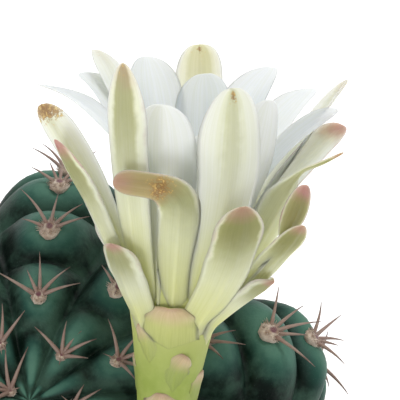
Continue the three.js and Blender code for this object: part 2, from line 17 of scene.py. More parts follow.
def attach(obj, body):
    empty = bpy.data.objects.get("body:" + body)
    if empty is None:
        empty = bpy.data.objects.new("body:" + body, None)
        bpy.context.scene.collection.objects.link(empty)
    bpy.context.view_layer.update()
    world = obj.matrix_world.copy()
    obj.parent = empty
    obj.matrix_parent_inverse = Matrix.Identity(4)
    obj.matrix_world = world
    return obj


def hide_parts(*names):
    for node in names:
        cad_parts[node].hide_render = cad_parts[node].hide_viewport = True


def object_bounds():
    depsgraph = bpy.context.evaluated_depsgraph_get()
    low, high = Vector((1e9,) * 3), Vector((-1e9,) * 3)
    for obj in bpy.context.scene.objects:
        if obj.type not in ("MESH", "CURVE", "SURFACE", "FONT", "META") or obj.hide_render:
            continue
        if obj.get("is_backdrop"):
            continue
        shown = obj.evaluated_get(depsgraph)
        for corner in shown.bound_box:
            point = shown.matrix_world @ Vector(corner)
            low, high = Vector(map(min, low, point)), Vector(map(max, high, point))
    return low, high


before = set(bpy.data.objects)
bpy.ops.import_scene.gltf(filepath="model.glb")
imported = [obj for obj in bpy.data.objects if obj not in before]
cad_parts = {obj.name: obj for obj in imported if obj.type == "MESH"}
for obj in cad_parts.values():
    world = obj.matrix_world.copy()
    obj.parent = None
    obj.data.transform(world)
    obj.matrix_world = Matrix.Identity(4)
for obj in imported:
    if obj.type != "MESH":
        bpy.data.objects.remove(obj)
cad_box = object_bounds()
print("solids loaded:", sorted(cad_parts))

# %% [markdown]
# Sizes are easier to read in millimetres, and Blender works in metres. So every mesh is modelled in
# millimetres, and one helper shrinks it, smooths it and hangs it on the frame at the very end.
# The object itself stays at the origin: its place is in its mesh, so patterns on object
# coordinates never slide.

# %% Units and the helper that finishes a piece
MM = 0.001
PER_MM = 1 / MM
TAU = 2 * math.pi
UP = Vector((0, 0, 1))


def smoothstep(value, low, high):
    share = min(max((value - low) / (high - low), 0.0), 1.0)
    return share * share * (3 - 2 * share)


def mix(a, b, share):
    return a + (b - a) * share


def ring_point(turn, radius=1, height=0):
    """A point on a level circle about the z axis."""
    return Vector((radius * math.cos(turn), radius * math.sin(turn), height))


def as_mesh(name, bm):
    mesh = bpy.data.meshes.new(name)
    bm.to_mesh(mesh)
    bm.free()
    return mesh


def as_object(name, data):
    made = bpy.data.objects.new(name, data)
    bpy.context.scene.collection.objects.link(made)
    return made


def new_layer(bm, name):
    """A colour layer, one value for each point."""
    return bm.verts.layers.float_color.new(name)


def finish_piece(name, bm, material, stands_for=(), smooth=True, seat=None):
    """Seat is a matrix that carries the piece from where it was modelled to where it belongs."""
    if seat is not None:
        bmesh.ops.transform(bm, matrix=seat, verts=bm.verts)
    bmesh.ops.scale(bm, vec=(MM, MM, MM), verts=bm.verts)
    mesh = as_mesh(name, bm)
    for face in mesh.polygons:
        face.use_smooth = smooth
    mesh.materials.append(material)
    piece = as_object(name, mesh)
    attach(piece, "root")
    if stands_for:
        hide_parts(*stands_for)
    print(f"{name}: {sum(len(face.vertices) - 2 for face in mesh.polygons)} triangles")


# %% [markdown]
# ## Camera, floor and light
# The camera looks down on the flower from the front at a steep angle, with a long lens, as one does
# for a close portrait of a plant. The floor is a pale studio table that glows a little, which keeps
# it bright and the shadows soft. Two broad soft lamps do the rest.

# %% Camera
VIEW_HEIGHT = math.radians(62)
VIEW_DISTANCE = 340
VIEW_TARGET = Vector((28.96, 21.95, 147.02))
FRAME_WIDTH = 64.4  # what the picture spans at the target
SENSOR = 36

camera = as_object("camera", bpy.data.cameras.new("camera"))
towards_camera = Vector((0, -math.cos(VIEW_HEIGHT), math.sin(VIEW_HEIGHT)))
camera.location = (VIEW_TARGET + towards_camera * VIEW_DISTANCE) * MM
camera.rotation_euler = (math.pi / 2 - VIEW_HEIGHT, 0, 0)
camera.data.sensor_width = SENSOR
camera.data.lens = SENSOR * VIEW_DISTANCE / FRAME_WIDTH
camera.data.clip_start = 0.01
bpy.context.scene.camera = camera
print("camera lens:", round(camera.data.lens, 1), "mm")

# %% Floor
FLOOR_RADIUS = 4000
bm = bmesh.new()
bmesh.ops.create_circle(bm, cap_ends=True, segments=64, radius=FLOOR_RADIUS * MM)
floor = as_object("floor", as_mesh("floor", bm))
floor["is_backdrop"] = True

table_paint = bpy.data.materials.new("table_paint")
table_paint.use_nodes = True
table_shader = table_paint.node_tree.nodes["Principled BSDF"]
table_shader.inputs["Base Color"].default_value = (0.86, 0.86, 0.85, 1)
table_shader.inputs["Roughness"].default_value = 0.7
table_shader.inputs["Emission Color"].default_value = (1, 1, 1, 1)
table_shader.inputs["Emission Strength"].default_value = 0.6
floor.data.materials.append(table_paint)
print("floor laid:", 2 * FLOOR_RADIUS, "mm across")

# %% Light
world = bpy.data.worlds.new("studio")
world.use_nodes = True
sky = world.node_tree.nodes["Background"]
sky.inputs["Color"].default_value = (0.96, 0.98, 1.0, 1)
sky.inputs["Strength"].default_value = 0.56
bpy.context.scene.world = world
bpy.context.scene.view_settings.view_transform = "Standard"


def soft_lamp(name, place, size, power):
    lamp = as_object(name, bpy.data.lights.new(name, "AREA"))
    lamp.data.shape = "DISK"
    lamp.data.size = size
    lamp.data.energy = power
    lamp.location = place
    aim = VIEW_TARGET * MM - lamp.location
    lamp.rotation_euler = aim.to_track_quat("-Z", "Y").to_euler()
    print(name, "lit:", power, "W")


soft_lamp("key_lamp", Vector((0.3, 0.55, 0.95)), 0.45, 4.3)
soft_lamp("fill_lamp", Vector((-0.4, -0.9, 0.6)), 0.6, 4.2)

# %% [markdown]
# ## Small helpers for materials
# A material is a chain of nodes. These helpers add a node, mix two colours, do a sum, fade from one
# value to another, or lay a pattern, so that each material below reads as a short recipe. A colour
# or a share may be plain or the output of an earlier node; distances and dot sizes are plain.

# %% Node helpers
def feed(tree, socket, value):
    if isinstance(value, bpy.types.NodeSocket):
        tree.links.new(value, socket)
    else:
        socket.default_value = value


def add(tree, kind, inputs=None, **settings):
    made = tree.nodes.new(kind)
    for key, value in settings.items():
        setattr(made, key, value)
    for key, value in (inputs or {}).items():
        feed(tree, made.inputs[key], value)
    return made


def colour_mix(tree, share, first, second, blend="MIX"):
    inputs = {0: share, 6: first, 7: second}
    made = add(tree, "ShaderNodeMix", inputs, data_type="RGBA", blend_type=blend, clamp_factor=True)
    return made.outputs[2]


def sums(tree, operation, *values):
    return add(tree, "ShaderNodeMath", dict(enumerate(values)), operation=operation).outputs[0]


def times(tree, first, second):
    return sums(tree, "MULTIPLY", first, second)


def fade(tree, value, low, high, start=0.0, end=1.0):
    """Runs smoothly from start to end while the value goes from low to high."""
    inputs = {"Value": value, "From Min": low, "From Max": high, "To Min": start, "To Max": end}
    return add(tree, "ShaderNodeMapRange", inputs, interpolation_type="SMOOTHSTEP").outputs[0]


def place_on(tree):
    """The place on the piece, in its own coordinates."""
    return add(tree, "ShaderNodeTexCoord").outputs["Object"]


def clouds(tree, place, scale, detail, roughness=0.5):
    inputs = {"Vector": place, "Scale": scale, "Detail": detail, "Roughness": roughness}
    return add(tree, "ShaderNodeTexNoise", inputs).outputs["Fac"]


def dots(tree, per_mm, inner, outer, strength):
    """Small soft dots, scattered over the piece."""
    cells = add(tree, "ShaderNodeTexVoronoi", {"Vector": place_on(tree), "Scale": per_mm * PER_MM})
    return fade(tree, cells.outputs["Distance"], inner, outer, strength, 0)


def painted(tree, name):
    """The three channels of a colour layer that the mesh carries."""
    layer = add(tree, "ShaderNodeAttribute", attribute_name=name)
    return tuple(add(tree, "ShaderNodeSeparateColor", {"Color": layer.outputs["Color"]}).outputs)


def bump(tree, shader, height, strength, distance):
    inputs = {"Height": height, "Strength": strength, "Distance": distance * MM}
    feed(tree, shader.inputs["Normal"], add(tree, "ShaderNodeBump", inputs).outputs[0])


def new_material(name, **plain):
    """A material with its shader. Plain names and numbers go straight onto the shader's sockets."""
    material = bpy.data.materials.new(name)
    material.use_nodes = True
    tree = material.node_tree
    shader = tree.nodes["Principled BSDF"]
    for key, value in plain.items():
        shader.inputs[key.replace("_", " ")].default_value = value
    return material, tree, shader


def new_group(name, inputs, outputs):
    """A node group: defaults by label in, labels out. A label that says Colour carries a colour."""
    tree = bpy.data.node_groups.new(name, "ShaderNodeTree")
    for way, labels in (("INPUT", inputs), ("OUTPUT", outputs)):
        for label in labels:
            kind = "NodeSocketColor" if "Colour" in label else "NodeSocketFloat"
            socket = tree.interface.new_socket(label, in_out=way, socket_type=kind)
            if way == "INPUT":
                socket.default_value = inputs[label]
    return tree, add(tree, "NodeGroupInput").outputs, add(tree, "NodeGroupOutput").inputs


def use_group(tree, group, **values):
    made = add(tree, "ShaderNodeGroup", node_tree=group)
    for key, value in values.items():
        feed(tree, made.inputs[key.replace("_", " ")], value)
    return made


# %% [markdown]
# Two effects come back in almost every finish of a living thing or of clay: blotches of a slightly
# different tone, and a fine grain. Both are built once as a node group, and each material sets its
# own scale and strength. Scales are in patches for each millimetre.

# %% Shared effects: mottle and grain
mottle, given, result = new_group(
    "mottle",
    {"Colour": (0.5, 0.5, 0.5, 1), "Patch Colour": (0.3, 0.3, 0.3, 1), "Size": 0.2, "Amount": 0.5},
    ["Colour", "Mask"],
)
blotches = clouds(mottle, place_on(mottle), times(mottle, given["Size"], PER_MM), 5.0, 0.6)
mask = fade(mottle, blotches, 0.38, 0.66)
share = times(mottle, mask, given["Amount"])
feed(mottle, result["Colour"], colour_mix(mottle, share, given["Colour"], given["Patch Colour"]))
feed(mottle, result["Mask"], mask)

grain, given, result = new_group("grain", {"Size": 3.0, "Coarse Share": 0.4}, ["Height"])
place = place_on(grain)
fine_size = times(grain, given["Size"], PER_MM)
fine = clouds(grain, place, fine_size, 3.0)
coarse = clouds(grain, place, times(grain, fine_size, 0.2), 2.0)
feed(grain, result["Height"], sums(grain, "ADD", fine, times(grain, coarse, given["Coarse Share"])))
print("node groups:", [group.name for group in bpy.data.node_groups])


def mottled(tree, colour, patch, size, amount, shader=None):
    """A colour with patches of another. With a shader, it becomes the shader's own colour."""
    made = use_group(tree, mottle, Colour=colour, Patch_Colour=patch, Size=size, Amount=amount)
    if shader:
        feed(tree, shader.inputs["Base Color"], made.outputs["Colour"])
    return made


def grained(tree, shader, size, coarse, strength, distance):
    """A fine relief, as deep as the distance says."""
    made = use_group(tree, grain, Size=size, Coarse_Share=coarse)
    bump(tree, shader, made.outputs["Height"], strength, distance)


# %% [markdown]
# ## The body
# The body is a flattened globe with eleven ribs. Real ribs are not cut into the globe: they are rows
# of tubercles, one for each spine cushion, and the rows of neighbouring ribs are staggered. One
# formula gives the height of the skin anywhere: across a rib it is a broad arch, along a rib it rises
# over each tubercle and drops into a crease between two. A fine grid is wrapped round the globe and
# every point of it is moved to that height. A grid keeps its rows in order, so the creases stay
# crisp, which sculpting or a displace modifier would not promise.

# %% The shape of the skin
CENTRE_HEIGHT = 94
BODY_RADIUS = 53
HALF_HEIGHT = 26.6
CROWN_DIP, CROWN_DIP_RADIUS = 5, 10
RIBS = 11
FIRST_RIB = 2.637
RIB_DEPTH, RIB_DEPTH_PER_PITCH = 8, 0.42
RIBS_FADE, RIBS_GONE = 1.75, 2.2  # radians from the crown, on the way to the smooth underside
RIB_ARCH = 2.3  # how square the arch across a rib is
SWELL = 2.1
CHIN_SHARE = 0.78
CHIN_DROP, CHIN_BLUNT = 0.85, 0.6  # where a tubercle is highest, and how broad its top is
AREOLE_PHASE = 1 / 3
FIRST_ROW, ROW_STEP, ROW_GROWTH = 0.07, 0.28, 0.012  # radians from the crown
LAST_AREOLE = 1.75
RIB_PITCH = TAU / RIBS


def row_angle(row):
    if row < 0:
        return FIRST_ROW * (1 + max(row, -1))
    return FIRST_ROW + ROW_STEP * row + ROW_GROWTH * row**2


def row_at(angle):
    if angle < FIRST_ROW:
        return angle / FIRST_ROW - 1
    root = math.sqrt(ROW_STEP**2 + 4 * ROW_GROWTH * (angle - FIRST_ROW))
    return (root - ROW_STEP) / (2 * ROW_GROWTH)


def rib_offset(rib):
    return (rib * (RIBS + 1) // 2) % RIBS / RIBS


def tubercle_height(phase):
    return abs(math.sin(math.pi * phase**CHIN_DROP)) ** CHIN_BLUNT


def skin_point(turn, row, extra=0.0):
    """A point of the skin, its outward direction and relief. The turn is in ribs round the plant."""
    rib = round(turn)
    across = 2 * (turn - rib)
    angle = row_angle(row)
    ring = BODY_RADIUS * math.sin(angle)
    point = ring_point(FIRST_RIB + turn * RIB_PITCH, ring, HALF_HEIGHT * math.cos(angle))
    flat = BODY_RADIUS**2
    normal = Vector((point.x / flat, point.y / flat, point.z / HALF_HEIGHT**2)).normalized()
    depth = min(RIB_DEPTH, RIB_DEPTH_PER_PITCH * ring * RIB_PITCH)
    phase = (row - rib_offset(rib) + AREOLE_PHASE) % 1
    relief = (1 - abs(across) ** RIB_ARCH) * (1 - CHIN_SHARE + CHIN_SHARE * tubercle_height(phase))
    ribbed = 1 - smoothstep(angle, RIBS_FADE, RIBS_GONE)
    point += normal * (ribbed * (min(SWELL, depth / 2) - depth * (1 - relief)) + extra)
    if angle < math.pi / 2:
        point.z -= CROWN_DIP * math.exp(-((ring / CROWN_DIP_RADIUS) ** 2))
    point.z += CENTRE_HEIGHT
    return point, normal, relief


def areole_seats():
    """Every spine cushion, rib by rib and outwards from the crown."""
    for rib in range(RIBS):
        row = rib_offset(rib)
        while row_angle(row) < LAST_AREOLE:
            point, normal, _ = skin_point(rib, row)
            yield row, point, normal
            row += 1


print("spine cushions:", sum(1 for _ in areole_seats()))

# %% [markdown]
# The grid's columns run round the plant and its rows from the crown to the foot. Each cushion sits in
# a shallow pit, so the skin is pressed in there. The mesh also carries a colour layer that says how
# high a point stands on its tubercle. The finish uses it to paint shade down in the creases, darker
# and greener there, and a paler top that is partly waxy bloom and partly painted highlight.

# %% Wrap the skin
SKIN_COLUMNS, SKIN_ROWS = RIBS * 20, 190
RIBBED_SHARE = 0.9  # part of the rows that is spent above the plain underside
RIBBED_ANGLE = 2.0
PIT_DEPTH, PIT_RADIUS = 1.0, 2.4
SKIN_WAVES = ((0.12, 0.35), (0.5, 0.08))  # how close and how high its slow unevenness is
CALM_CROWN = 0.2  # radians


def pit(turn, row):
    """How deep a point lies in the nearest cushion's pit, from 0 to 1."""
    rib = round(turn)
    nearest = round(row - rib_offset(rib)) + rib_offset(rib)
    if nearest < 0 or row_angle(nearest) > LAST_AREOLE:
        return 0.0
    slant = math.sin(row_angle(row))
    along = (row_angle(row) - row_angle(nearest)) * mix(BODY_RADIUS, HALF_HEIGHT, slant**2)
    sideways = (turn - rib) * RIB_PITCH * BODY_RADIUS * slant
    return math.exp(-(along**2 + sideways**2) / PIT_RADIUS**2)


skin_bm = bmesh.new()
bmesh.ops.create_grid(skin_bm, x_segments=SKIN_COLUMNS, y_segments=SKIN_ROWS, size=1)
form = new_layer(skin_bm, "form")
for vert in skin_bm.verts:
    turn = (vert.co.x + 1) / 2 * RIBS
    down = (vert.co.y + 1) / 2
    if down < RIBBED_SHARE:
        angle = RIBBED_ANGLE * down / RIBBED_SHARE
    else:
        angle = mix(RIBBED_ANGLE, math.pi, (down - RIBBED_SHARE) / (1 - RIBBED_SHARE))
    row = row_at(angle)
    point, normal, relief = skin_point(turn, row, -PIT_DEPTH * pit(turn, row))
    soft = sum(noise.noise(point * pitch) * height for pitch, height in SKIN_WAVES)
    vert.co = point + normal * soft * min(angle / CALM_CROWN, 1)
    vert[form] = (relief, 0, 0, 1)
bmesh.ops.remove_doubles(skin_bm, verts=skin_bm.verts, dist=0.01)
bmesh.ops.recalc_face_normals(skin_bm, faces=skin_bm.faces)
print("skin wrapped:", len(skin_bm.faces), "faces")

# %% [markdown]
# The skin is matt and waxy, a dark blue-green. The high parts are paler, partly as waxy bloom and
# partly as painted highlight. Painted shade makes the creases almost black-green, and tiny pale dots
# are the pores. The sheen comes from the shader, with a roughness that the blotches vary.

# %% Finish of the skin
# The crease green is painted shade; the bloom colour is both waxy bloom and painted highlight.
painted_crease_shade = (0.001, 0.007, 0.004, 1)
blue_green = (0.025, 0.094, 0.07, 1)
bloom_and_painted_highlight = (0.15, 0.31, 0.22, 1)
pore_green = (0.13, 0.22, 0.17, 1)

skin_paint, tree, shader = new_material("skin_paint", Specular_IOR_Level=0.15)
height_on_rib, _, _ = painted(tree, "form")
# Painted shade: the skin is made darker and greener down in the creases.
tone = colour_mix(tree, fade(tree, height_on_rib, 0.42, 0.92), painted_crease_shade, blue_green)
patched = mottled(tree, tone, bloom_and_painted_highlight, 0.12, 0.3)
# Painted highlight, partly waxy bloom: the tops of the tubercles are made paler.
bloom_and_highlight_share = fade(tree, height_on_rib, 0.72, 1.0, 0, 0.38)
bloomed_and_highlit = colour_mix(tree, bloom_and_highlight_share, patched.outputs["Colour"], bloom_and_painted_highlight)
pored = colour_mix(tree, dots(tree, 1.7, 0.12, 0.24, 0.08), bloomed_and_highlit, pore_green)
feed(tree, shader.inputs["Base Color"], pored)
feed(tree, shader.inputs["Roughness"], fade(tree, patched.outputs["Mask"], 0, 1, 0.48, 0.6))
grained(tree, shader, 1.6, 0.8, 0.35, 0.25)
finish_piece("cactus_skin", skin_bm, skin_paint, ["cactus_body"])

# %% [markdown]
# Under the globe a short corky neck goes down into the soil. It is out of sight, but the plant
# stands on it, so it is there.

# %% Neck
NECK_RADIUS, NECK_LENGTH, NECK_INSIDE = 12.6, 15, 3.2  # the last is how far it reaches into the body
bm = bmesh.new()
neck_middle = CENTRE_HEIGHT - HALF_HEIGHT - NECK_LENGTH / 2 + NECK_INSIDE
bmesh.ops.create_cone(
    bm, cap_ends=True, segments=40, radius1=NECK_RADIUS * 0.9, radius2=NECK_RADIUS, depth=NECK_LENGTH
)
bmesh.ops.translate(bm, verts=bm.verts, vec=(0, 0, neck_middle))
cork_paint, tree, shader = new_material("cork_paint", Roughness=0.9)
cork = mottled(tree, (0.2, 0.13, 0.07, 1), (0.09, 0.055, 0.03, 1), 0.5, 0.8, shader)
bump(tree, shader, cork.outputs["Mask"], 0.6, 0.5)
finish_piece("corky_neck", bm, cork_paint)

# %% [markdown]
# ## Spine cushions and spines
# Each tubercle carries an oval pad of short wool, and the spines grow from its middle. Wool could be
# hair strands, but those are lost when the piece is exported. A pad is a lumpy dome with many thin
# tapering tufts on it, as real meshes with very few faces each. Three pads are made, and copies of
# them are turned and set on the tubercles. A colour layer holds the distance from the pad's middle,
# which is purple-brown where the wool has worn off.

# %% A template that can be copied
def rib_axes(normal):
    """The directions down the rib and to its side, along the skin."""
    down = (normal * normal.z - UP).normalized()
    return down, down.cross(normal)


def seat_matrix(point, normal, turn):
    """Places a template: its z goes along the skin's normal, its x down the rib."""
    down, side = rib_axes(normal)
    basis = Matrix((down, -side, normal)).transposed().to_4x4()
    return Matrix.Translation(point) @ basis @ Matrix.Rotation(turn, 4, "Z")


def stamp(bm, template, matrix):
    """Adds a copy of a template mesh, placed by the matrix, and returns its points."""
    before = len(bm.verts)
    bm.from_mesh(template)
    bm.verts.ensure_lookup_table()
    copied = bm.verts[before:]
    for vert in copied:
        vert.co = matrix @ vert.co
    return copied


def turned_along(direction):
    """The turn that lays the z axis along a direction."""
    return direction.to_track_quat("Z", "Y").to_matrix().to_4x4()


def tapered_hair(bm, layer, root, tip, radius, tone):
    """A thin three-sided tuft from root to tip."""
    made = bmesh.ops.create_cone(
        bm,
        cap_ends=False,
        segments=3,
        radius1=radius,
        radius2=radius * 0.2,
        depth=(tip - root).length,
        matrix=Matrix.Translation((root + tip) / 2) @ turned_along(tip - root),
    )
    for vert in made["verts"]:
        vert[layer] = tone


PAD_LENGTH, PAD_WIDTH, PAD_HEIGHT = 2.2, 1.9, 1.3
PAD_LUMPS, PAD_WEAR, WORN_RADIUS = 0.16, 0.4, 0.42
TUFTS, TUFT_RADIUS = 110, 0.11


def make_pad(seed):
    dice = random.Random(seed)
    bm = bmesh.new()
    wool = new_layer(bm, "wool")
    bmesh.ops.create_uvsphere(bm, u_segments=14, v_segments=7, radius=1)
    for vert in bm.verts:
        middle = math.hypot(vert.co.x, vert.co.y)
        lump = 1 + PAD_LUMPS * noise.noise(vert.co * 2.6 + Vector((seed, 0, 0)))
        worn = PAD_WEAR * math.exp(-((middle / WORN_RADIUS) ** 2))
        vert[wool] = (middle, dice.random(), 0, 1)
        height = vert.co.z * PAD_HEIGHT - worn
        vert.co = Vector((vert.co.x * PAD_LENGTH, vert.co.y * PAD_WIDTH, height)) * lump
    for _ in range(TUFTS):
        heading = dice.uniform(0, TAU)
        reach = mix(0.45, 1.0, dice.random() ** 0.5)
        flat = Vector((math.cos(heading) * PAD_LENGTH, math.sin(heading) * PAD_WIDTH, 0)) * reach
        root = flat * 0.86 + UP * (PAD_HEIGHT * math.sqrt(max(1 - reach**2, 0.05)) * 0.8)
        curl = Vector((dice.uniform(-0.5, 0.5), dice.uniform(-0.5, 0.5), dice.uniform(0.25, 0.8)))
        tip = root + flat.normalized() * dice.uniform(0.3, 0.75) + curl * 0.8
        tapered_hair(bm, wool, root, tip, TUFT_RADIUS, (reach, dice.random(), 0, 1))
    return as_mesh("pad_template", bm)


pads = [make_pad(seed) for seed in range(3)]
print("pads made:", len(pads), "with", TUFTS, "tufts each")

# %% Wool on every tubercle
PAD_SUNK = 0.75  # part of the pit's depth that a pad sinks in
dice = random.Random(21)
bm = bmesh.new()
new_layer(bm, "wool")
for row, point, normal in areole_seats():
    size = mix(0.55, 1.0, smoothstep(row, 0.0, 2.5)) * dice.uniform(0.9, 1.1)
    sunk = point - normal * PIT_DEPTH * PAD_SUNK
    place = seat_matrix(sunk, normal, dice.uniform(-0.3, 0.3)) @ Matrix.Scale(size, 4)
    stamp(bm, dice.choice(pads), place)

worn_middle = (0.16, 0.045, 0.06, 1)
tan_wool = (0.46, 0.31, 0.21, 1)
pale_wool = (0.74, 0.62, 0.5, 1)
wool_dust = (0.3, 0.17, 0.13, 1)
wool_paint, tree, shader = new_material(
    "wool_paint", Roughness=0.95, Sheen_Weight=0.4, Sheen_Roughness=0.5
)
from_middle, shade, _ = painted(tree, "wool")
wool_tone = colour_mix(tree, fade(tree, shade, 0.1, 0.9), tan_wool, pale_wool)
ringed = colour_mix(tree, fade(tree, from_middle, 0.2, 0.5), worn_middle, wool_tone)
mottled(tree, ringed, wool_dust, 0.8, 0.35, shader)
grained(tree, shader, 5.0, 0.3, 0.8, 0.3)
finish_piece("areole_wool", bm, wool_paint)

# %% [markdown]
# A spine starts as a small circle that is extruded step by step and narrowed each time. Copies of
# it are bent back towards the skin, because a straight needle looks like wire. The headings come
# from a small repeatable number sequence, the same as the solid's, so that the strong spines grow
# where the solid has them. Their length and the stray of their tips are varied a little more.

# %% Spines
SPINE_RADIUS, THIN_RADIUS = 0.44, 0.2
SPINE_SHORTEST, SPINE_LONGEST = 5.5, 10
SPINE_TURNS = (4, 42, -38, 82, -80)
SPINE_RISE = 32
SPINE_TAPER = 0.88
ROOT_FLARE, FLARE_REACH = 0.5, 0.06
POT_HEIGHT = 78
LOWEST_TIP = POT_HEIGHT + 2


def number_sequence(seed):
    state = seed
    while True:
        state = (state * 1664525 + 1013904223) % 4294967296
        yield state / 4294967296


def spine_template(sides, steps):
    """A straight spine of length 1 and radius 1 that tapers to a fine tip."""
    bm = bmesh.new()
    ring = bmesh.ops.create_circle(bm, cap_ends=True, segments=sides, radius=1)["verts"]
    edges = list({edge for vert in ring for edge in vert.link_edges})
    for step in range(1, steps + 1):
        share = step / steps
        grown = bmesh.ops.extrude_edge_only(bm, edges=edges)["geom"]
        ring = [item for item in grown if isinstance(item, bmesh.types.BMVert)]
        edges = [item for item in grown if isinstance(item, bmesh.types.BMEdge)]
        for vert in ring:
            flat = Vector((vert.co.x, vert.co.y, 0)).normalized()
            vert.co = flat * (1 - SPINE_TAPER * share**1.3) + UP * share
    bmesh.ops.holes_fill(bm, edges=edges, sides=0)
    bmesh.ops.recalc_face_normals(bm, faces=bm.faces)
    return as_mesh("spine_template", bm)


def make_spine(bm, layer, template, root, direction, length, bend, radius=SPINE_RADIUS):
    """Bend says which way the tip leans, and its length says how far for each length of spine."""
    turn = turned_along(direction).to_3x3()
    for vert in stamp(bm, template, Matrix.Identity(4)):
        share = vert.co.z
        vert[layer] = (share, 0, 0, 1)
        thick = radius * (1 + ROOT_FLARE * math.exp(-((share / FLARE_REACH) ** 2)))
        flat = Vector((vert.co.x, vert.co.y, 0)) * thick
        vert.co = root + turn @ flat + direction * (length * share) + bend * (length * share**2)


strong_spine = spine_template(6, 7)
thin_stalk = spine_template(5, 5)
print("spine headings (degrees):", SPINE_TURNS)

# %% [markdown]
# ## The flower's own frame
# The flower leans back and a little to the right. It is easiest to build it upright, with z up its
# tube and -y to the front, and to turn it into place at the end. Its foot is bent over to meet the
# cushion that it grew from: below a set height every point follows a short curve.

# %% Flower frame and the bend at its foot
FLOWER_BASE = Vector((23, -7.6, 29.7 + CENTRE_HEIGHT))
LEAN_BACK, LEAN_RIGHT = math.radians(51), math.radians(4.9)
FOOT_ANGLE, FOOT_ROW = math.radians(-18.5), 1.31
COLLAR_HEIGHT = 2.4
BEND_MIDDLE, BEND_TOP = UP * 1, UP * 8
BEND_STEPS = 40
TUBE_CLEARANCE = 7  # spines stay this far from the tube's axis
GAP = 0.3

flower_frame = (
    Matrix.Translation(FLOWER_BASE)
    @ Matrix.Rotation(-LEAN_BACK, 4, "X")
    @ Matrix.Rotation(LEAN_RIGHT, 4, "Y")
)
foot_turn = (FOOT_ANGLE - FIRST_RIB + TAU) / RIB_PITCH
foot_seat, _, _ = skin_point(foot_turn, FOOT_ROW)
collar_axis = (flower_frame @ BEND_MIDDLE - foot_seat).normalized()
foot_point = flower_frame.inverted() @ (foot_seat + collar_axis * (COLLAR_HEIGHT + GAP))


def bend_line(share):
    rest = 1 - share
    return foot_point * rest**2 + BEND_MIDDLE * (2 * rest * share) + BEND_TOP * share**2


bend_length = sum(
    (bend_line((i + 1) / BEND_STEPS) - bend_line(i / BEND_STEPS)).length for i in range(BEND_STEPS)
)
BEND_START = BEND_TOP.z - bend_length


def bend_foot(point):
    if point.z >= BEND_TOP.z:
        return point
    share = min(max((point.z - BEND_START) / bend_length, 0), 1)
    along = ((BEND_MIDDLE - foot_point) * (1 - share) + (BEND_TOP - BEND_MIDDLE) * share).normalized()
    side = (Vector((1, 0, 0)) - along * along.x).normalized()
    back = along.cross(side)
    return bend_line(share) + side * point.x + back * point.y


def clear_of_flower(root, tip):
    """True where a spine stays clear of the flower's tube."""
    for share in (0.2, 0.4, 0.6, 0.8, 1.0):
        point = flower_frame.inverted() @ root.lerp(tip, share)
        if point.z >= BEND_START - 3 and math.hypot(point.x, point.y) <= TUBE_CLEARANCE:
            return False
    return True


print("tube starts", round(BEND_START, 2), "mm from the flower's base")

# %% [markdown]
# Now the spines can be set: up to five strong ones on each cushion, and up to two short thin ones
# between them. A spine that would reach down to the pot or into the flower is left out.

# %% Set the spines
SEAT_CLEARANCE = 5  # no spines on the cushion that the flower took
TURN_SPREAD, RISE_SPREAD = 14, 16  # degrees
SPINE_SUNK, THIN_SUNK = 1.0, 0.6  # how deep a spine starts below the skin
STRAY = 0.16
THIN_SPINES, THIN_SHORTEST, THIN_LONGEST = 2, 1.8, 3.4
bm = bmesh.new()
spine_layer = new_layer(bm, "spine")
numbers = number_sequence(3)
dice = random.Random(8)
spines = 0
for row, point, normal in areole_seats():
    if (point - foot_seat).length <= SEAT_CLEARANCE:
        continue
    down, side = rib_axes(normal)
    for turn in SPINE_TURNS:
        heading = math.radians(turn + TURN_SPREAD * (next(numbers) - 0.5))
        rise = math.radians(SPINE_RISE + RISE_SPREAD * (next(numbers) - 0.5))
        length = mix(SPINE_SHORTEST, SPINE_LONGEST, next(numbers))
        along_skin = down * math.cos(heading) + side * math.sin(heading)
        direction = along_skin * math.cos(rise) + normal * math.sin(rise)
        tip = point + direction * length
        root = point - normal * SPINE_SUNK
        if tip.z > LOWEST_TIP and clear_of_flower(root, tip):
            start = (direction + normal * 0.3).normalized()
            stray = side * dice.uniform(-STRAY, STRAY) + down * dice.uniform(-STRAY, STRAY)
            grown = length * dice.uniform(0.72, 1) + 0.6
            make_spine(bm, spine_layer, strong_spine, root, start, grown, direction - start + stray)
            spines += 1
    for _ in range(THIN_SPINES):
        heading = math.radians(dice.uniform(0, 360))
        along_skin = down * math.cos(heading) + side * math.sin(heading)
        direction = (along_skin + normal * dice.uniform(0.3, 0.8)).normalized()
        length = dice.uniform(THIN_SHORTEST, THIN_LONGEST)
        tip = point + direction * length
        root = point - normal * THIN_SUNK
        if tip.z > LOWEST_TIP and clear_of_flower(point, tip):
            bend = -normal * 0.15
            make_spine(bm, spine_layer, thin_stalk, root, direction, length, bend, THIN_RADIUS)
            spines += 1
print("spines:", spines)

horn_base = (0.22, 0.115, 0.09, 1)
horn_middle = (0.31, 0.2, 0.16, 1)
horn_tip = (0.10, 0.05, 0.035, 1)
horn_streak = (0.36, 0.28, 0.23, 1)
spine_paint, tree, shader = new_material("spine_paint", Roughness=0.5)
along_spine, _, _ = painted(tree, "spine")
lower = colour_mix(tree, fade(tree, along_spine, 0.0, 0.35), horn_base, horn_middle)
whole = colour_mix(tree, fade(tree, along_spine, 0.6, 1.0), lower, horn_tip)
mottled(tree, whole, horn_streak, 0.9, 0.5, shader)
grained(tree, shader, 4.0, 0.6, 0.4, 0.12)
finish_piece("spines", bm, spine_paint)

# %% [markdown]
# ## Tepals
# A chin cactus has no separate sepals and petals. Its tepals change step by step from thick green
# scales outside to thin white blades inside. So one function makes them all: it takes a short line of
# facts about one tepal and returns the blade.
#
# The blade is a grid rolled round into a flat closed sleeve: half of its columns are the outer face
# and half are the inner one, so that its edges are round and it has a true thickness. A line is
# walked up the middle, which leans out from the flower's axis and may sweep to a side, and at
# each step the sleeve is as wide as the outline says. The blade is cupped like a spoon, has a keel
# along the back, and its edge waves a little.

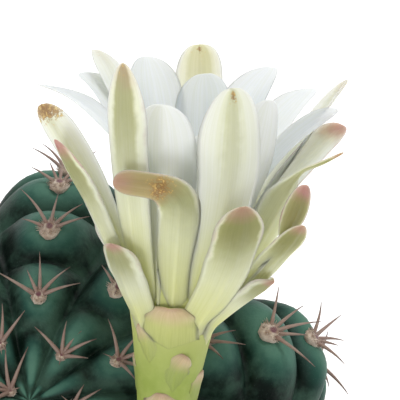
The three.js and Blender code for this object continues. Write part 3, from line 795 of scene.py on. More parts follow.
# %% The outline of a tepal and the line up its middle
TUBE_HEIGHT = 26.6
TUBE_OUTSIDE = [(0, 3.9), (5, 4.7), (10, 5.5), (16, 6.5), (20, 7.3), (TUBE_HEIGHT, 8.4)]


def outline(share, tepal):
    """Half the width of a tepal there, as a part of its greatest half width."""
    if tepal.get("claw"):  # a spoon on a thin dried stalk
        spoon = 0.16 + 0.84 * math.sin(math.pi / 2 * min(max((share - 0.62) / 0.18, 0), 1))
        return spoon * max(1 - max((share - 0.8) / 0.2, 0) ** 2, 0) ** 0.5
    if tepal.get("strap"):  # a broad strap with a narrower end
        strap = mix(0.72, 1, smoothstep(share, 0, 0.4)) * (1 - 0.36 * smoothstep(share, 0.62, 0.82))
        return strap * max(1 - max((share - 0.9) / 0.1, 0) ** 2.4, 0) ** 0.5
    if tepal.get("tail"):  # dried to a thin strip
        strip = mix(0.5, 1, smoothstep(share, 0, 0.36)) * (1 - 0.82 * smoothstep(share, 0.5, 0.68))
        return strip * max(1 - share**40, 0) ** 0.5
    widest, root, tip = tepal.get("widest", 0.76), tepal.get("base", 0.5), tepal.get("tip", 1.8)
    if share < widest:
        return root + (1 - root) * math.sin(math.pi / 2 * share / widest) ** 1.15
    return max(1 - ((share - widest) / (1 - widest)) ** tip, 0) ** (0.5 if tip > 2 else 0.62)


def tube_radius(height):
    for (low, low_radius), (high, high_radius) in zip(TUBE_OUTSIDE, TUBE_OUTSIDE[1:]):
        if height <= high:
            return mix(low_radius, high_radius, (height - low) / (high - low))
    return TUBE_OUTSIDE[-1][1]


def outwards(tepal):
    """The direction out of the tube where a tepal grows, and the one across it."""
    turn = math.radians(tepal["turn"])
    return Vector((math.sin(turn), -math.cos(turn), 0)), ring_point(turn)


def walk_midrib(tepal, root_radius, steps):
    """Frames up the middle of a tepal: place, direction, width direction, outward direction."""
    out, across = outwards(tepal)
    place = out * root_radius + UP * tepal["root"]
    frames = []
    for step in range(steps + 1):
        share = step / steps
        bent = smoothstep(share, *tepal.get("hook", (0, 1)))
        lean = math.radians(mix(*tepal["lean"], share) + tepal.get("fold", 0) * bent)
        sweep = math.radians(tepal.get("sweep", 0)) * bent
        upwards = out * math.sin(lean) + UP * math.cos(lean)
        along = upwards * math.cos(sweep) + across * math.sin(sweep)
        normal = out * math.cos(lean) - UP * math.sin(lean)
        wide = along.cross(normal)
        if wide.dot(across) < 0:
            wide.negate()
        twist = tepal.get("twist", 0) * smoothstep(share, 0.5, 0.75)
        roll = math.radians(tepal.get("roll", 0) + twist) * smoothstep(share, -0.1, 0.12)
        rolled_wide = wide * math.cos(roll) + normal * math.sin(roll)
        rolled_normal = normal * math.cos(roll) - wide * math.sin(roll)
        if frames:
            place = place + (frames[-1][1] + along) * (tepal["length"] / steps / 2)
        frames.append((place, along, rolled_wide, rolled_normal))
    return frames


FOOT_STEPS = 8
FOOT_SINK = 1.2  # how deep the lower end of the foot lies under the tube's wall
WALL_SLOPE = 0.17
CORNER = slice(FOOT_STEPS - 4, FOOT_STEPS + 5)  # the frames on both sides of the root


def add_foot(frames, tepal, root_radius, length):
    """Below its root a tepal runs down the tube's wall and sinks into it, so the path starts there."""
    out, _ = outwards(tepal)
    stand = root_radius - tube_radius(tepal["root"])
    slope = (UP + out * WALL_SLOPE).normalized()
    foot = []
    for step in range(FOOT_STEPS, 0, -1):
        down = step / FOOT_STEPS
        height = tepal["root"] - length * down
        radius = tube_radius(height) + mix(stand, -FOOT_SINK, down)
        foot.append((out * radius + UP * height, slope, frames[0][2], out))
    path = foot + frames
    for _ in range(3):  # round off the corner at the root
        path[CORNER] = [
            tuple((a + 2 * b + c) / 4 for a, b, c in zip(path[i - 1], path[i], path[i + 1]))
            for i in range(CORNER.start, CORNER.stop)
        ]
    return path


def path_at(path, spot):
    spot = min(spot, len(path) - 1.001)
    low = int(spot)
    return [a.lerp(b, spot - low) for a, b in zip(path[low], path[low + 1])]


# %% Build a tepal from its facts
EDGE_WAVE = 0.22
FOOT_PART = 0.15  # part of the rows that the foot takes
TIP_CROWDING = 1.35  # rows crowd towards the tip, where the outline turns fastest
CUP = 0.22
EDGE_THINNING, TIP_THINNING = 0.72, 0.35
KEEL_HEIGHT, KEEL_WIDTH = 0.3, 0.16
SCORCH_DEPTH = 0.62


def make_tepal(bm, layers, tepal, root_radius, thickness, columns=16, rows=44, foot=0, bend=None):
    blade_layer, dye_layer = layers
    dice = random.Random(f"{tepal['turn']}{tepal['length']}")
    path = walk_midrib(tepal, root_radius, rows)
    if foot:
        path = add_foot(path, tepal, root_radius, foot)
    wave_count, wave_start = dice.uniform(1.5, 2.6), dice.uniform(0, TAU)
    green, pink, brown = tepal["dye"]
    grid = bmesh.ops.create_grid(bm, x_segments=2 * columns, y_segments=rows + FOOT_STEPS, size=1)
    made = grid["verts"]
    for vert in made:
        round_share = (vert.co.x + 1) / 2
        up = (vert.co.y + 1) / 2
        down = max(1 - up / FOOT_PART, 0) if foot else 0
        above = max((up - FOOT_PART) / (1 - FOOT_PART), 0) if foot else up
        share = 1 - (1 - above) ** TIP_CROWDING
        across = 1 - 4 * round_share if round_share <= 0.5 else 4 * round_share - 3
        face = 1 if 0.001 < round_share < 0.499 else -1 if 0.501 < round_share < 0.999 else 0
        spot = share * rows + (FOOT_STEPS * (1 - down) if foot else 0)
        place, _, wide, normal = path_at(path, spot)
        half = tepal["width"] / 2 * outline(share, tepal) * (1 - 0.1 * down)
        wave = math.sin(wave_start + TAU * wave_count * share + across)
        half *= 1 + 0.03 * wave * smoothstep(share, 0.3, 0.7)
        taper = min(1.0, (half / (thickness * 1.2)) ** 0.6) if half > 0 else 0
        margin = 1 - EDGE_THINNING * abs(across) ** 1.5
        rounded = max(1 - across**8, 0) ** 0.5
        wall = thickness / 2 * (1 - TIP_THINNING * share) * taper * margin * rounded
        keel = KEEL_HEIGHT * thickness * math.exp(-((across / KEEL_WIDTH) ** 2))
        keel *= 1 - smoothstep(share, 0.8, 1)
        hug = half / (2 * root_radius)  # as round as the tube where it lies on it
        bowl = -mix(tepal.get("cup", CUP), hug, 1 - smoothstep(share, 0, 0.25)) * half * across**2
        edge = EDGE_WAVE * wave * across * abs(across) * smoothstep(share, 0.25, 0.6) * min(half / 3, 1)
        point = place + wide * (half * across) + normal * (face * wall + keel * (1 - down) + bowl + edge)
        vert.co = bend(point) if bend else point
        dry = brown * smoothstep(share, 0.84, 1.02) * (1 - (1 - brown) * abs(across))
        if "scorch" in tepal:
            middle, side, reach, breadth = tepal["scorch"]
            away = ((share - middle) / reach) ** 2 + ((across - side) / breadth) ** 2
            dry = max(dry, SCORCH_DEPTH * math.exp(-away))
        vert[blade_layer] = (share, across / 2 + 0.5, face / 2 + 0.5, 1)
        vert[dye_layer] = (green * (1 - down), pink * (1 - down), dry, 1)
    welded = set(made)
    bmesh.ops.remove_doubles(bm, verts=made, dist=0.004)
    faces = {face for vert in welded if vert.is_valid for face in vert.link_faces}
    rim = [edge for face in faces for edge in face.edges if edge.is_boundary]
    closed = bmesh.ops.holes_fill(bm, edges=list(set(rim)), sides=0)["faces"]
    bmesh.ops.recalc_face_normals(bm, faces=[*faces, *closed])


def tepal_mesh():
    bm = bmesh.new()
    return bm, (new_layer(bm, "blade"), new_layer(bm, "dye"))


# %% [markdown]
# The first facts of a tepal are its turn from the front to the right, the height of its root, its
# length and width, and its lean at the root and at the tip. The others are given where they differ
# from the plain case:
#
# - sweep to a side, roll about its own middle, and twist, which is more roll in the upper half
# - hook: the part of its length in which it sweeps and folds; fold: how much further it leans there
# - widest: where it is widest; base: how wide its root is; tip: how blunt its end is; cup: how hollow
# - claw, strap and tail: special outlines, named in the function above
# - dye: how green its back is (over 1 its upper part is browned, partly toasted and partly painted
#   shade), how pink its edge, how brown its tip
# - scorch, a dry patch: its place along and across the blade, and its reach along and across

# %% The outer tepals
def facts(turn, root, length, width, lean, **more):
    given = {"turn": turn, "root": root, "length": length, "width": width, "lean": lean}
    return {**given, "dye": (0, 0, 0), **more}


bent_strip = dict(hook=(0.55, 0.73), fold=41, twist=-40, tail=True, scorch=(0.98, 0, 0.05, 3))
bent_strap = dict(hook=(0.545, 0.85), twist=-28, strap=True, scorch=(0.775, 0, 0.07, 1.6))
outer_tepals = [
    facts(-37, 21, 43.5, 7.3, (23, 17), sweep=8, roll=-5, dye=(0.7, 0.5, 0.4)),
    facts(28, 22, 39.5, 9.9, (29, 6), sweep=-10, roll=12, tip=2.1, dye=(0.4, 0, 0),
          scorch=(0.965, 0, 0.04, 0.24)),
    facts(172, 22, 44.5, 8.2, (27, 37), sweep=9, tip=3.4, dye=(0.75, 0, 0.4),
          scorch=(0.975, 0, 0.035, 0.24)),
    facts(110, 22, 41.5, 7.2, (20, 37), roll=6, dye=(0.4, 0.4, 0.4)),
    facts(82, 20.7, 36.5, 8.6, (16, 42), sweep=19, roll=-27, widest=0.88, tip=2.7, dye=(0.35, 1.3, 0.1)),
    facts(72, 20.8, 42, 6.2, (29, 16), sweep=-45, roll=45, dye=(0.9, 0.9, 0.6), **bent_strip),
    facts(63, 20.8, 27.9, 4.2, (50, 14), sweep=-5, roll=45, claw=True, dye=(1.3, 1.4, 0.1)),
    facts(70, 19.8, 24.7, 4.9, (43, 36), sweep=-28, roll=46, tip=1.6, dye=(1.1, 0.8, 0.15)),
    facts(64, 18.5, 13.5, 6.4, (44, 52), roll=4, cup=0.5, base=0.7, dye=(0.85, 0.9, 0.1)),
    facts(34, 19.5, 26, 8.5, (44, 19), sweep=-13, roll=12, base=0.75, dye=(1, 0.8, 0.1)),
    facts(-2, 21.6, 31.8, 6.8, (16, 40), sweep=-86, roll=4, dye=(1.9, 0.8, 0.1), **bent_strap),
    facts(-44, 19, 15.5, 7.8, (33, 31), roll=-4, base=0.75, dye=(0.8, 1, 0.1)),
    facts(-60, 20.2, 32.5, 5.6, (25, 37), roll=-10, dye=(0.85, 1.4, 0.2)),
    facts(-67, 20.7, 36.7, 6.8, (20, 37.5), sweep=-5, roll=-34, tip=3.6, dye=(0.3, 0.1, 1)),
    facts(-151, 22.6, 45.6, 7.9, (8, 67), sweep=2, roll=-12, widest=0.65, tip=2.2, dye=(0.35, 0.2, 0.4)),
    facts(-20, 22, 20.5, 8, (10, 12), tip=2.3, dye=(0.15, 0, 0)),
    facts(140, 19.5, 27, 6.4, (42, 30), sweep=4, dye=(0.8, 0.7, 0.2)),
    facts(-165, 19.5, 24, 7, (44, 26), sweep=-3, roll=5, dye=(0.85, 0.8, 0.2)),
    facts(-130, 19, 18, 6.2, (44, 28), sweep=3, dye=(0.8, 0.8, 0.2)),
]
OUTER_ROOT, OUTER_THICKNESS, OUTER_FOOT = 7.1, 0.9, 7

outer_bm, layers = tepal_mesh()
for tepal in outer_tepals:
    make_tepal(outer_bm, layers, tepal, OUTER_ROOT, OUTER_THICKNESS, foot=OUTER_FOOT)
print("outer tepals:", len(outer_tepals))

# %% The inner tepals
inner_tepals = [
    facts(-19, 23, 33, 10.4, (13, 15)),
    facts(53, 23, 35, 9.8, (22, 9), sweep=-2, roll=11),
    facts(163, 24, 35.5, 10, (20, 30), sweep=14, roll=-3),
    facts(-166, 24, 38.5, 9.6, (19, 38), sweep=7, roll=-3),
    facts(156, 24.9, 46.9, 8.3, (8, 81), sweep=3, roll=-1, widest=0.53, tip=2.2),
    facts(133, 24.8, 45.5, 8.7, (14, 81), sweep=22, roll=3, widest=0.56),
    facts(98, 23.5, 36.8, 7.4, (4, 57), roll=-10),
    facts(-125, 24.7, 40.6, 5.5, (-9, 86), sweep=13, roll=-2, tip=1.2),
    facts(-142, 25, 42.4, 6.2, (2, 84), sweep=-4, roll=8, tip=2.4),
]
HEART_COUNT, HEART_TURN = 6, 16
for i in range(HEART_COUNT):
    turn = HEART_TURN + 360 * i / HEART_COUNT
    inner_tepals.append(facts(turn, 23.5, 28 - 2 * (i % 2), 7.6, (6, 18)))
INNER_ROOT, INNER_THICKNESS, INNER_TIP = 5.9, 0.6, 2.3

inner_bm, layers = tepal_mesh()
for tepal in inner_tepals:
    make_tepal(inner_bm, layers, {"tip": INNER_TIP, **tepal}, INNER_ROOT, INNER_THICKNESS)
print("inner tepals:", len(inner_tepals))

# %% [markdown]
# ### The paint of a tepal
# The colour of a tepal follows its own length and width, so it is painted from the two colour layers
# that every blade carries. Both whorls use the same group with different base colours. A tepal is
# greenish yellow at its root and almost white above. On its back a green stripe widens up to the tip,
# the edge turns pink, and the very tip dries brown. Fine veins run lengthwise.

# %% Tepal paint group
GREEN_FLESH = (0.60, 0.62, 0.33, 1)
CREAM = (0.66, 0.56, 0.27, 1)
# The toasted brown is partly painted shade.
OLIVE, TOASTED_AND_SHADED = (0.235, 0.235, 0.085, 1), (0.36, 0.28, 0.13, 1)
DUSKY_PINK = (0.42, 0.22, 0.2, 1)
DRY_BROWN, DRY_GOLD = (0.25, 0.12, 0.035, 1), (0.66, 0.46, 0.16, 1)
VEINS_ACROSS, VEINS_ALONG = 34.0, 1.6

blade_paint, given, result = new_group(
    "blade_paint",
    {
        "Face Colour": (0.84, 0.87, 0.87, 1),
        "Back Colour": (0.8, 0.82, 0.7, 1),
        "Root Colour": (0.6, 0.64, 0.3, 1),
        "Root Start": 0.0,
        "Root Reach": 0.4,
    },
    ["Colour", "Veins"],
)
tree = blade_paint
share, side, face = painted(tree, "blade")
green, pink, brown = painted(tree, "dye")
place = place_on(tree)
cloud = clouds(tree, place, 0.45 * PER_MM, 4.0)
uneven = times(tree, sums(tree, "SUBTRACT", cloud, 0.5), 0.35)
from_midrib = sums(tree, "ABSOLUTE", sums(tree, "MULTIPLY_ADD", side, 2.0, -1.0))
ragged_share = sums(tree, "ADD", share, times(tree, uneven, 0.25))
ragged_side = sums(tree, "ADD", from_midrib, uneven)

is_back = fade(tree, face, 0.3, 0.5)
green_part = sums(tree, "MINIMUM", green, 1.0)
green_squared = sums(tree, "POWER", green_part, 2.0)
greened = colour_mix(tree, times(tree, green_part, 0.6), given["Back Colour"], GREEN_FLESH)
tinged = colour_mix(tree, times(tree, green_squared, 0.4), given["Face Colour"], GREEN_FLESH)
plain = colour_mix(tree, is_back, tinged, greened)
root_share = fade(tree, ragged_share, given["Root Start"], given["Root Reach"], 0.95, 0.0)
rooted = colour_mix(tree, root_share, plain, given["Root Colour"])
cream_share = times(tree, fade(tree, ragged_share, 0.62, 1.0, 0.0, 0.8), green_squared)
cream_face = times(tree, cream_share, fade(tree, is_back, 0, 1, 1.0, 0.2))
creamed = colour_mix(tree, cream_face, rooted, CREAM)

stripe_edge = sums(tree, "MULTIPLY_ADD", green_part, 1.1, -0.35)
stripe_end = sums(tree, "MULTIPLY_ADD", green_part, 0.75, 0.2)
stripe = fade(tree, ragged_side, stripe_edge, stripe_end, 1.0, 0.0)
stripe_rise = fade(tree, ragged_share, 0.35, 0.85, 0.06, 1.0)
stripe_amount = times(tree, times(tree, stripe, stripe_rise), green_part)
stripe_back = times(tree, stripe_amount, fade(tree, is_back, 0, 1, 0.3, 1.0))
striped = colour_mix(tree, stripe_back, creamed, OLIVE)
# Partly toasted, partly painted shade: a darker brown over the upper part where the green is over 1.
toast_and_shade = times(tree, fade(tree, green, 1.0, 2.0), fade(tree, ragged_share, 0.64, 0.78))
toasted_and_shaded = colour_mix(tree, toast_and_shade, striped, TOASTED_AND_SHADED)

edge = times(tree, fade(tree, ragged_side, 0.8, 1.05), fade(tree, ragged_share, 0.45, 0.85))
tip = fade(tree, ragged_share, 0.86, 0.99)
pink_amount = times(tree, sums(tree, "MAXIMUM", edge, tip), pink)
pink_back = times(tree, pink_amount, fade(tree, is_back, 0, 1, 0.7, 0.85))
blushed = colour_mix(tree, pink_back, toasted_and_shaded, DUSKY_PINK)

frayed = clouds(tree, place, 1.7 * PER_MM, 5.0, 0.7)
dry_edge = sums(tree, "MULTIPLY_ADD", sums(tree, "SUBTRACT", frayed, 0.5), 1.6, brown)
dry_tip = fade(tree, dry_edge, 0.35, 0.6, 0.0, 0.9)
dried = colour_mix(tree, fade(tree, frayed, 0.48, 0.68), DRY_BROWN, DRY_GOLD)
tipped = colour_mix(tree, dry_tip, blushed, dried)

squeezed = {"X": times(tree, side, VEINS_ACROSS), "Y": times(tree, share, VEINS_ALONG)}
veins = clouds(tree, add(tree, "ShaderNodeCombineXYZ", squeezed).outputs[0], 1.0, 2.0)
vein_shade = fade(tree, veins, 0.35, 0.7, 0.0, 0.16)
veined = colour_mix(tree, vein_shade, tipped, given["Root Colour"], "MULTIPLY")
feed(tree, result["Colour"], veined)
feed(tree, result["Veins"], veins)
print("tepal paint ready:", len(tree.nodes), "nodes")


# %% Tepal finishes
def tepal_material(name, depth, root=None, **colours):
    """Depth is how far light goes into the flesh. Root may be a recipe for the root's colour."""
    material, tree, shader = new_material(
        name,
        Roughness=0.5,
        Subsurface_Weight=0.8,
        Subsurface_Radius=(1.0, 0.97, 0.8),
        Subsurface_Scale=depth * MM,
        Specular_IOR_Level=0.35,
    )
    paint = use_group(tree, blade_paint, **colours)
    if root:
        feed(tree, paint.inputs["Root Colour"], root(tree))
    feed(tree, shader.inputs["Base Color"], paint.outputs["Colour"])
    bump(tree, shader, paint.outputs["Veins"], 0.25, 0.12)
    return material


outer_paint = tepal_material(
    "outer_tepal_paint",
    2.2,
    Face_Colour=(0.82, 0.84, 0.77, 1),
    Back_Colour=(0.82, 0.83, 0.73, 1),
    Root_Colour=(0.68, 0.69, 0.30, 1),
    Root_Reach=0.6,
)
inner_paint = tepal_material(
    "inner_tepal_paint",
    3.0,
    Face_Colour=(0.79, 0.85, 0.85, 1),
    Back_Colour=(0.84, 0.86, 0.79, 1),
    Root_Colour=(0.72, 0.75, 0.42, 1),
    Root_Reach=0.35,
)
finish_piece("inner_tepals_fine", inner_bm, inner_paint, ["inner_tepals"], seat=flower_frame)
finish_piece("outer_tepals", outer_bm, outer_paint, seat=flower_frame)

# %% [markdown]
# ## The floral tube
# The tube is a smooth funnel. Its half outline is drawn as a short chain of points, rounded off, and
# spun about the flower's axis with the spin operator. It goes up outside, over the rim, and down the
# inside of the throat, so that one looks into a real hollow between the stamens. Then the foot is
# bent. A colour layer keeps how far up the tube each point lies, because the green pales upwards.

# %% Spin the tube
RIM = [(26.7, 8.3), (27.0, 8.0), (26.7, 7.7)]
THROAT = [(24, 7.0), (19, 5.9), (16, 4.7), (15, 3.4), (15, 0)]
TUBE_FOOT = 3.4
TUBE_STEP, TUBE_SEGMENTS = 0.75, 64
TUBE_WAVE, TUBE_WAVE_HEIGHT = 0.25, 0.15


def spin_profile(bm, points, segments):
    """Spins a chain of (height, radius) points into a closed solid of revolution."""
    chain = [bm.verts.new((radius, 0, height)) for height, radius in points]
    edges = [bm.edges.new(pair) for pair in zip(chain, chain[1:])]
    full_turn = dict(cent=(0, 0, 0), axis=(0, 0, 1), angle=TAU, steps=segments, use_merge=True)
    bmesh.ops.spin(bm, geom=chain + edges, **full_turn)
    bmesh.ops.remove_doubles(bm, verts=bm.verts, dist=0.002)
    bmesh.ops.recalc_face_normals(bm, faces=bm.faces)


def fine_outside():
    """The outside in small steps, so that the bend and the swelling stay smooth."""
    for i in range(int((TUBE_HEIGHT - BEND_START) / TUBE_STEP) + 1):
        height = BEND_START + TUBE_STEP * i
        below = mix(TUBE_FOOT, TUBE_OUTSIDE[0][1], (height - BEND_START) / -BEND_START)
        yield height, below if height < 0 else tube_radius(height)


def mark_height(bm):
    layer = new_layer(bm, "tube")
    for vert in bm.verts:
        vert[layer] = (min(max(vert.co.z / TUBE_HEIGHT, 0), 1), 0, 0, 1)


def tube_green(tree):
    up_tube, _, _ = painted(tree, "tube")
    low_green = (0.31, 0.39, 0.075, 1)
    high_green = (0.66, 0.66, 0.26, 1)
    return colour_mix(tree, fade(tree, up_tube, 0.25, 0.95), low_green, high_green)


bm = bmesh.new()
spin_profile(bm, [(BEND_START, 0), *fine_outside(), *RIM, *THROAT], TUBE_SEGMENTS)
mark_height(bm)
for vert in bm.verts:
    vert.co += vert.co.normalized() * noise.noise(vert.co * TUBE_WAVE) * TUBE_WAVE_HEIGHT
    vert.co = flower_frame @ bend_foot(vert.co)

tube_paint, tree, shader = new_material(
    "tube_paint",
    Roughness=0.6,
    Subsurface_Weight=0.3,
    Subsurface_Radius=(1.0, 1.0, 0.5),
    Subsurface_Scale=1.5 * MM,
    Specular_IOR_Level=0.25,
)
mottled(tree, tube_green(tree), (0.46, 0.52, 0.15, 1), 0.22, 0.5, shader)
grained(tree, shader, 2.0, 0.8, 0.2, 0.15)
finish_piece("floral_tube_fine", bm, tube_paint, ["floral_tube"])

# %% [markdown]
# Scales sit on the tube like fish scales, rounded, pressed flat, with a dusky pink edge. They are
# short tepals, so the same function makes them, and the same bend carries the lowest ones over.
# Their roots take the tube's own green at that height, so they grow out of it without a seam.

# %% Scales
SCALE_THICKNESS, SCALE_FOOT, SCALE_SUNK = 0.7, 3, 0.3


def scale_facts(turn, root, length, width, lean=(13, 14), **more):
    cup = width / 4 / tube_radius(root + 3)
    plain = dict(widest=0.5, tip=2.2, base=1.05, cup=cup, dye=(0, 0.5, 0))
    return facts(turn, root, length, width, lean, **plain, **more)


tube_scales = [
    scale_facts(-10, 1.5, 6, 7),
    scale_facts(10, 8.2, 6, 4.6, sweep=30),
    scale_facts(-34, 12.4, 6.4, 4.2, sweep=-34),
    scale_facts(-4, 15.4, 7.2, 9.2, lean=(24, 22)),
    scale_facts(78, 5, 5.4, 5.6),
    scale_facts(128, 10.5, 5.6, 5.8),
    scale_facts(178, 4, 5.2, 5.8),
    scale_facts(-150, 12.5, 5.6, 6),
    scale_facts(-100, 6.5, 5.4, 5.6),
    scale_facts(164, 15, 6, 6.4),
]
bm, layers = tepal_mesh()
for scale in tube_scales:
    seat = tube_radius(scale["root"]) - SCALE_SUNK
    make_tepal(bm, layers, scale, seat, SCALE_THICKNESS, 12, 20, SCALE_FOOT, bend_foot)
mark_height(bm)
scale_paint = tepal_material(
    "scale_paint",
    1.0,
    tube_green,
    Face_Colour=(0.5, 0.55, 0.22, 1),
    Back_Colour=(0.64, 0.49, 0.3, 1),
    Root_Start=0.4,
    Root_Reach=0.9,
)
finish_piece("tube_scales", bm, scale_paint, seat=flower_frame)

# %% [markdown]
# ## The collar
# The flower comes out of one cushion. There the skin rises in a short collar with wool round it.

# %% Collar
COLLAR_LENGTH, COLLAR_RADIUS = 7, 4.2
COLLAR_TUFTS, COLLAR_TUFT_RADIUS, WOOL_BAND = 260, 0.12, 2.6
COLLAR_TOP = [(-1, 4.5), (-0.3, COLLAR_RADIUS), (0, 3.7), (0, 0)]

bm = bmesh.new()
spin_profile(bm, [(-COLLAR_LENGTH, 0), (-COLLAR_LENGTH, 4.8), *COLLAR_TOP], 40)
wool = new_layer(bm, "wool")
dice = random.Random(5)
for vert in bm.verts:
    vert[wool] = (1, dice.random(), 0, 1)
for _ in range(COLLAR_TUFTS):
    heading = dice.uniform(0, TAU)
    height = dice.uniform(-WOOL_BAND, 0)
    ring = ring_point(heading)
    root = ring * COLLAR_RADIUS + UP * height
    spread = ring * dice.uniform(0.3, 1.0)
    curl = Vector((dice.uniform(-0.4, 0.4), dice.uniform(-0.4, 0.4), dice.uniform(0.1, 0.9)))
    tapered_hair(bm, wool, root, root + spread + curl, COLLAR_TUFT_RADIUS, (1, dice.random(), 0, 1))
collar_top = foot_seat + collar_axis * COLLAR_HEIGHT
collar_seat = Matrix.Translation(collar_top) @ turned_along(collar_axis)
finish_piece("flower_collar", bm, wool_paint, seat=collar_seat)

# %% [markdown]
# ## Stamens and pistil
# The throat is lined with many thin filaments, each with a grain of a pollen sac on top, set in the
# same golden-angle spiral as the solid's but denser. In the middle stands the style with its stigma,
# a small star of velvety lobes.

# %% Stamens
GOLDEN_ANGLE = 2.39996
STAMEN_COUNT = 84
FILAMENT_RADIUS, FILAMENT_ROOT = 0.2, 16.6
TALLEST, OUTER_SHORTER = 34.5, 5.5
ROOT_RING, SAC_RING = (1.9, 3.1), (2.2, 4.6)  # from the inmost to the outmost
bm = bmesh.new()
stalk = new_layer(bm, "spine")
dice = random.Random(11)
sacs = []
for i in range(STAMEN_COUNT):
    share = (i + 0.5) / STAMEN_COUNT
    outward = ring_point(i * GOLDEN_ANGLE)
    root = outward * mix(*ROOT_RING, share) + UP * FILAMENT_ROOT
    top = outward * mix(*SAC_RING, share) + UP * (TALLEST - OUTER_SHORTER * share + dice.uniform(-1, 1))
    direction = (top - root).normalized()
    bow = outward * dice.uniform(-0.03, 0.06)
    make_spine(bm, stalk, thin_stalk, root, direction, (top - root).length, bow, FILAMENT_RADIUS)
    sacs.append((top + bow * (top - root).length, direction))
filament_paint, tree, shader = new_material(
    "filament_paint", Roughness=0.5, Subsurface_Weight=0.2, Subsurface_Scale=0.5 * MM
)
up_stalk = fade(tree, painted(tree, "spine")[0], 0.0, 0.8)
stalk_tone = colour_mix(tree, up_stalk, (0.55, 0.62, 0.28, 1), (0.82, 0.82, 0.62, 1))
mottled(tree, stalk_tone, (0.85, 0.83, 0.68, 1), 0.6, 0.4, shader)
finish_piece("filaments", bm, filament_paint, ["stamens"], seat=flower_frame)

# %% Pollen sacs
SAC_HALF_SIZES = (0.55, 0.36, 0.78, 1)
bm = bmesh.new()
for place, direction in sacs:
    turn = turned_along(direction) @ Matrix.Rotation(dice.uniform(0, TAU), 4, "Z")
    matrix = Matrix.Translation(place) @ turn @ Matrix.Diagonal(SAC_HALF_SIZES)
    bmesh.ops.create_uvsphere(bm, u_segments=10, v_segments=6, radius=1, matrix=matrix)
pollen_paint, tree, shader = new_material("pollen_paint", Roughness=0.85)
mottled(tree, (0.78, 0.62, 0.24, 1), (0.88, 0.78, 0.42, 1), 1.5, 0.8, shader)
grained(tree, shader, 8.0, 0.4, 0.7, 0.15)
finish_piece("pollen_sacs", bm, pollen_paint, seat=flower_frame)

# %% Pistil
STIGMA_HEIGHT = 37.5
LOBES, LOBE_LENGTH, LOBE_RADIUS = 9, 3.1, 0.42
STYLE_PROFILE = [
    (15.3, 0), (15.3, 0.95), (18, 0.85), (30, 0.8), (36, 0.9), (37.4, 1.2), (38.2, 0.9), (38.4, 0)
]
bm = bmesh.new()
style_layer = new_layer(bm, "spine")
for i in range(LOBES):
    outward = ring_point(TAU * i / LOBES)
    root = outward * 0.3 + UP * (STIGMA_HEIGHT - 0.1)
    direction = (outward + UP * 0.9).normalized()
    drooping = outward * 0.15 - UP * 0.25
    make_spine(bm, style_layer, strong_spine, root, direction, LOBE_LENGTH, drooping, LOBE_RADIUS)
spin_profile(bm, STYLE_PROFILE, 20)
style_paint, tree, shader = new_material(
    "style_paint", Roughness=0.6, Subsurface_Weight=0.2, Subsurface_Scale=0.8 * MM
)
mottled(tree, (0.74, 0.76, 0.42, 1), (0.84, 0.82, 0.58, 1), 1.2, 0.7, shader)
grained(tree, shader, 7.0, 0.2, 0.6, 0.12)
finish_piece("pistil_fine", bm, style_paint, ["pistil"], seat=flower_frame)

# %% [markdown]
# ## Pot
# A plain clay pot is thrown or pressed as a solid of revolution, so it is spun. Its corners are then
# bevelled, because an edge of fired clay is never sharp, and three drain holes are cut with a boolean
# that is applied at once.

# %% Pot
FOOT_RADIUS, WAIST_RADIUS, RIM_RADIUS = 36, 48, 54
RIM_HEIGHT, WALL, POT_FLOOR = 17, 4, 5
DRAIN_RADIUS, DRAIN_CIRCLE, DRAINS = 3.5, 19, 3
BAND_BOTTOM = POT_HEIGHT - RIM_HEIGHT
INNER_RIM, INNER_WAIST, INNER_FOOT = RIM_RADIUS - WALL, WAIST_RADIUS - WALL, FOOT_RADIUS - WALL
BAND_STEP, BEVEL = 1.5, 1.1
POT_SEGMENTS = 128
SHARP = math.radians(25)

bm = bmesh.new()
pot_profile = [
    (0, 0),
    (0, FOOT_RADIUS),
    (BAND_BOTTOM, WAIST_RADIUS),
    (BAND_BOTTOM + BAND_STEP, RIM_RADIUS),
    (POT_HEIGHT, RIM_RADIUS),
    (POT_HEIGHT, INNER_RIM),
    (BAND_BOTTOM, INNER_WAIST),
    (POT_FLOOR, INNER_FOOT),
    (POT_FLOOR, 0),
]
spin_profile(bm, pot_profile, POT_SEGMENTS)
corners = [edge for edge in bm.edges if edge.calc_face_angle(0) > SHARP]
bmesh.ops.bevel(bm, geom=corners, offset=BEVEL, segments=3, profile=0.5, affect="EDGES", material=-1)
whole_pot = as_object("whole_pot", as_mesh("whole_pot", bm))

drill = bmesh.new()
for i in range(DRAINS):
    bmesh.ops.create_cone(
        drill,
        cap_ends=True,
        segments=32,
        radius1=DRAIN_RADIUS,
        radius2=DRAIN_RADIUS,
        depth=4 * POT_FLOOR,
        matrix=Matrix.Translation(ring_point(TAU * i / DRAINS, DRAIN_CIRCLE)),
    )
drill_bits = as_object("drill_bits", as_mesh("drill", drill))

cut = whole_pot.modifiers.new("drain_holes", "BOOLEAN")
cut.operation = "DIFFERENCE"
cut.object = drill_bits
drilled = whole_pot.evaluated_get(bpy.context.evaluated_depsgraph_get())
pot_bm = bmesh.new()
pot_bm.from_mesh(drilled.to_mesh())
for helper in (whole_pot, drill_bits):
    bpy.data.objects.remove(helper)
print("pot drilled:", len(pot_bm.faces), "faces")

# %% [markdown]
# Fired clay is never one colour. It has warmer patches, a breath of lime from the water, dark specks,
# a pale tide line near the foot, and faint rings from the turning.

# %% Finish of the clay
clay, warm_clay = (0.44, 0.155, 0.065, 1), (0.52, 0.22, 0.11, 1)
lime, foot_lime = (0.62, 0.4, 0.29, 1), (0.66, 0.5, 0.42, 1)
dark_speck = (0.22, 0.08, 0.04, 1)

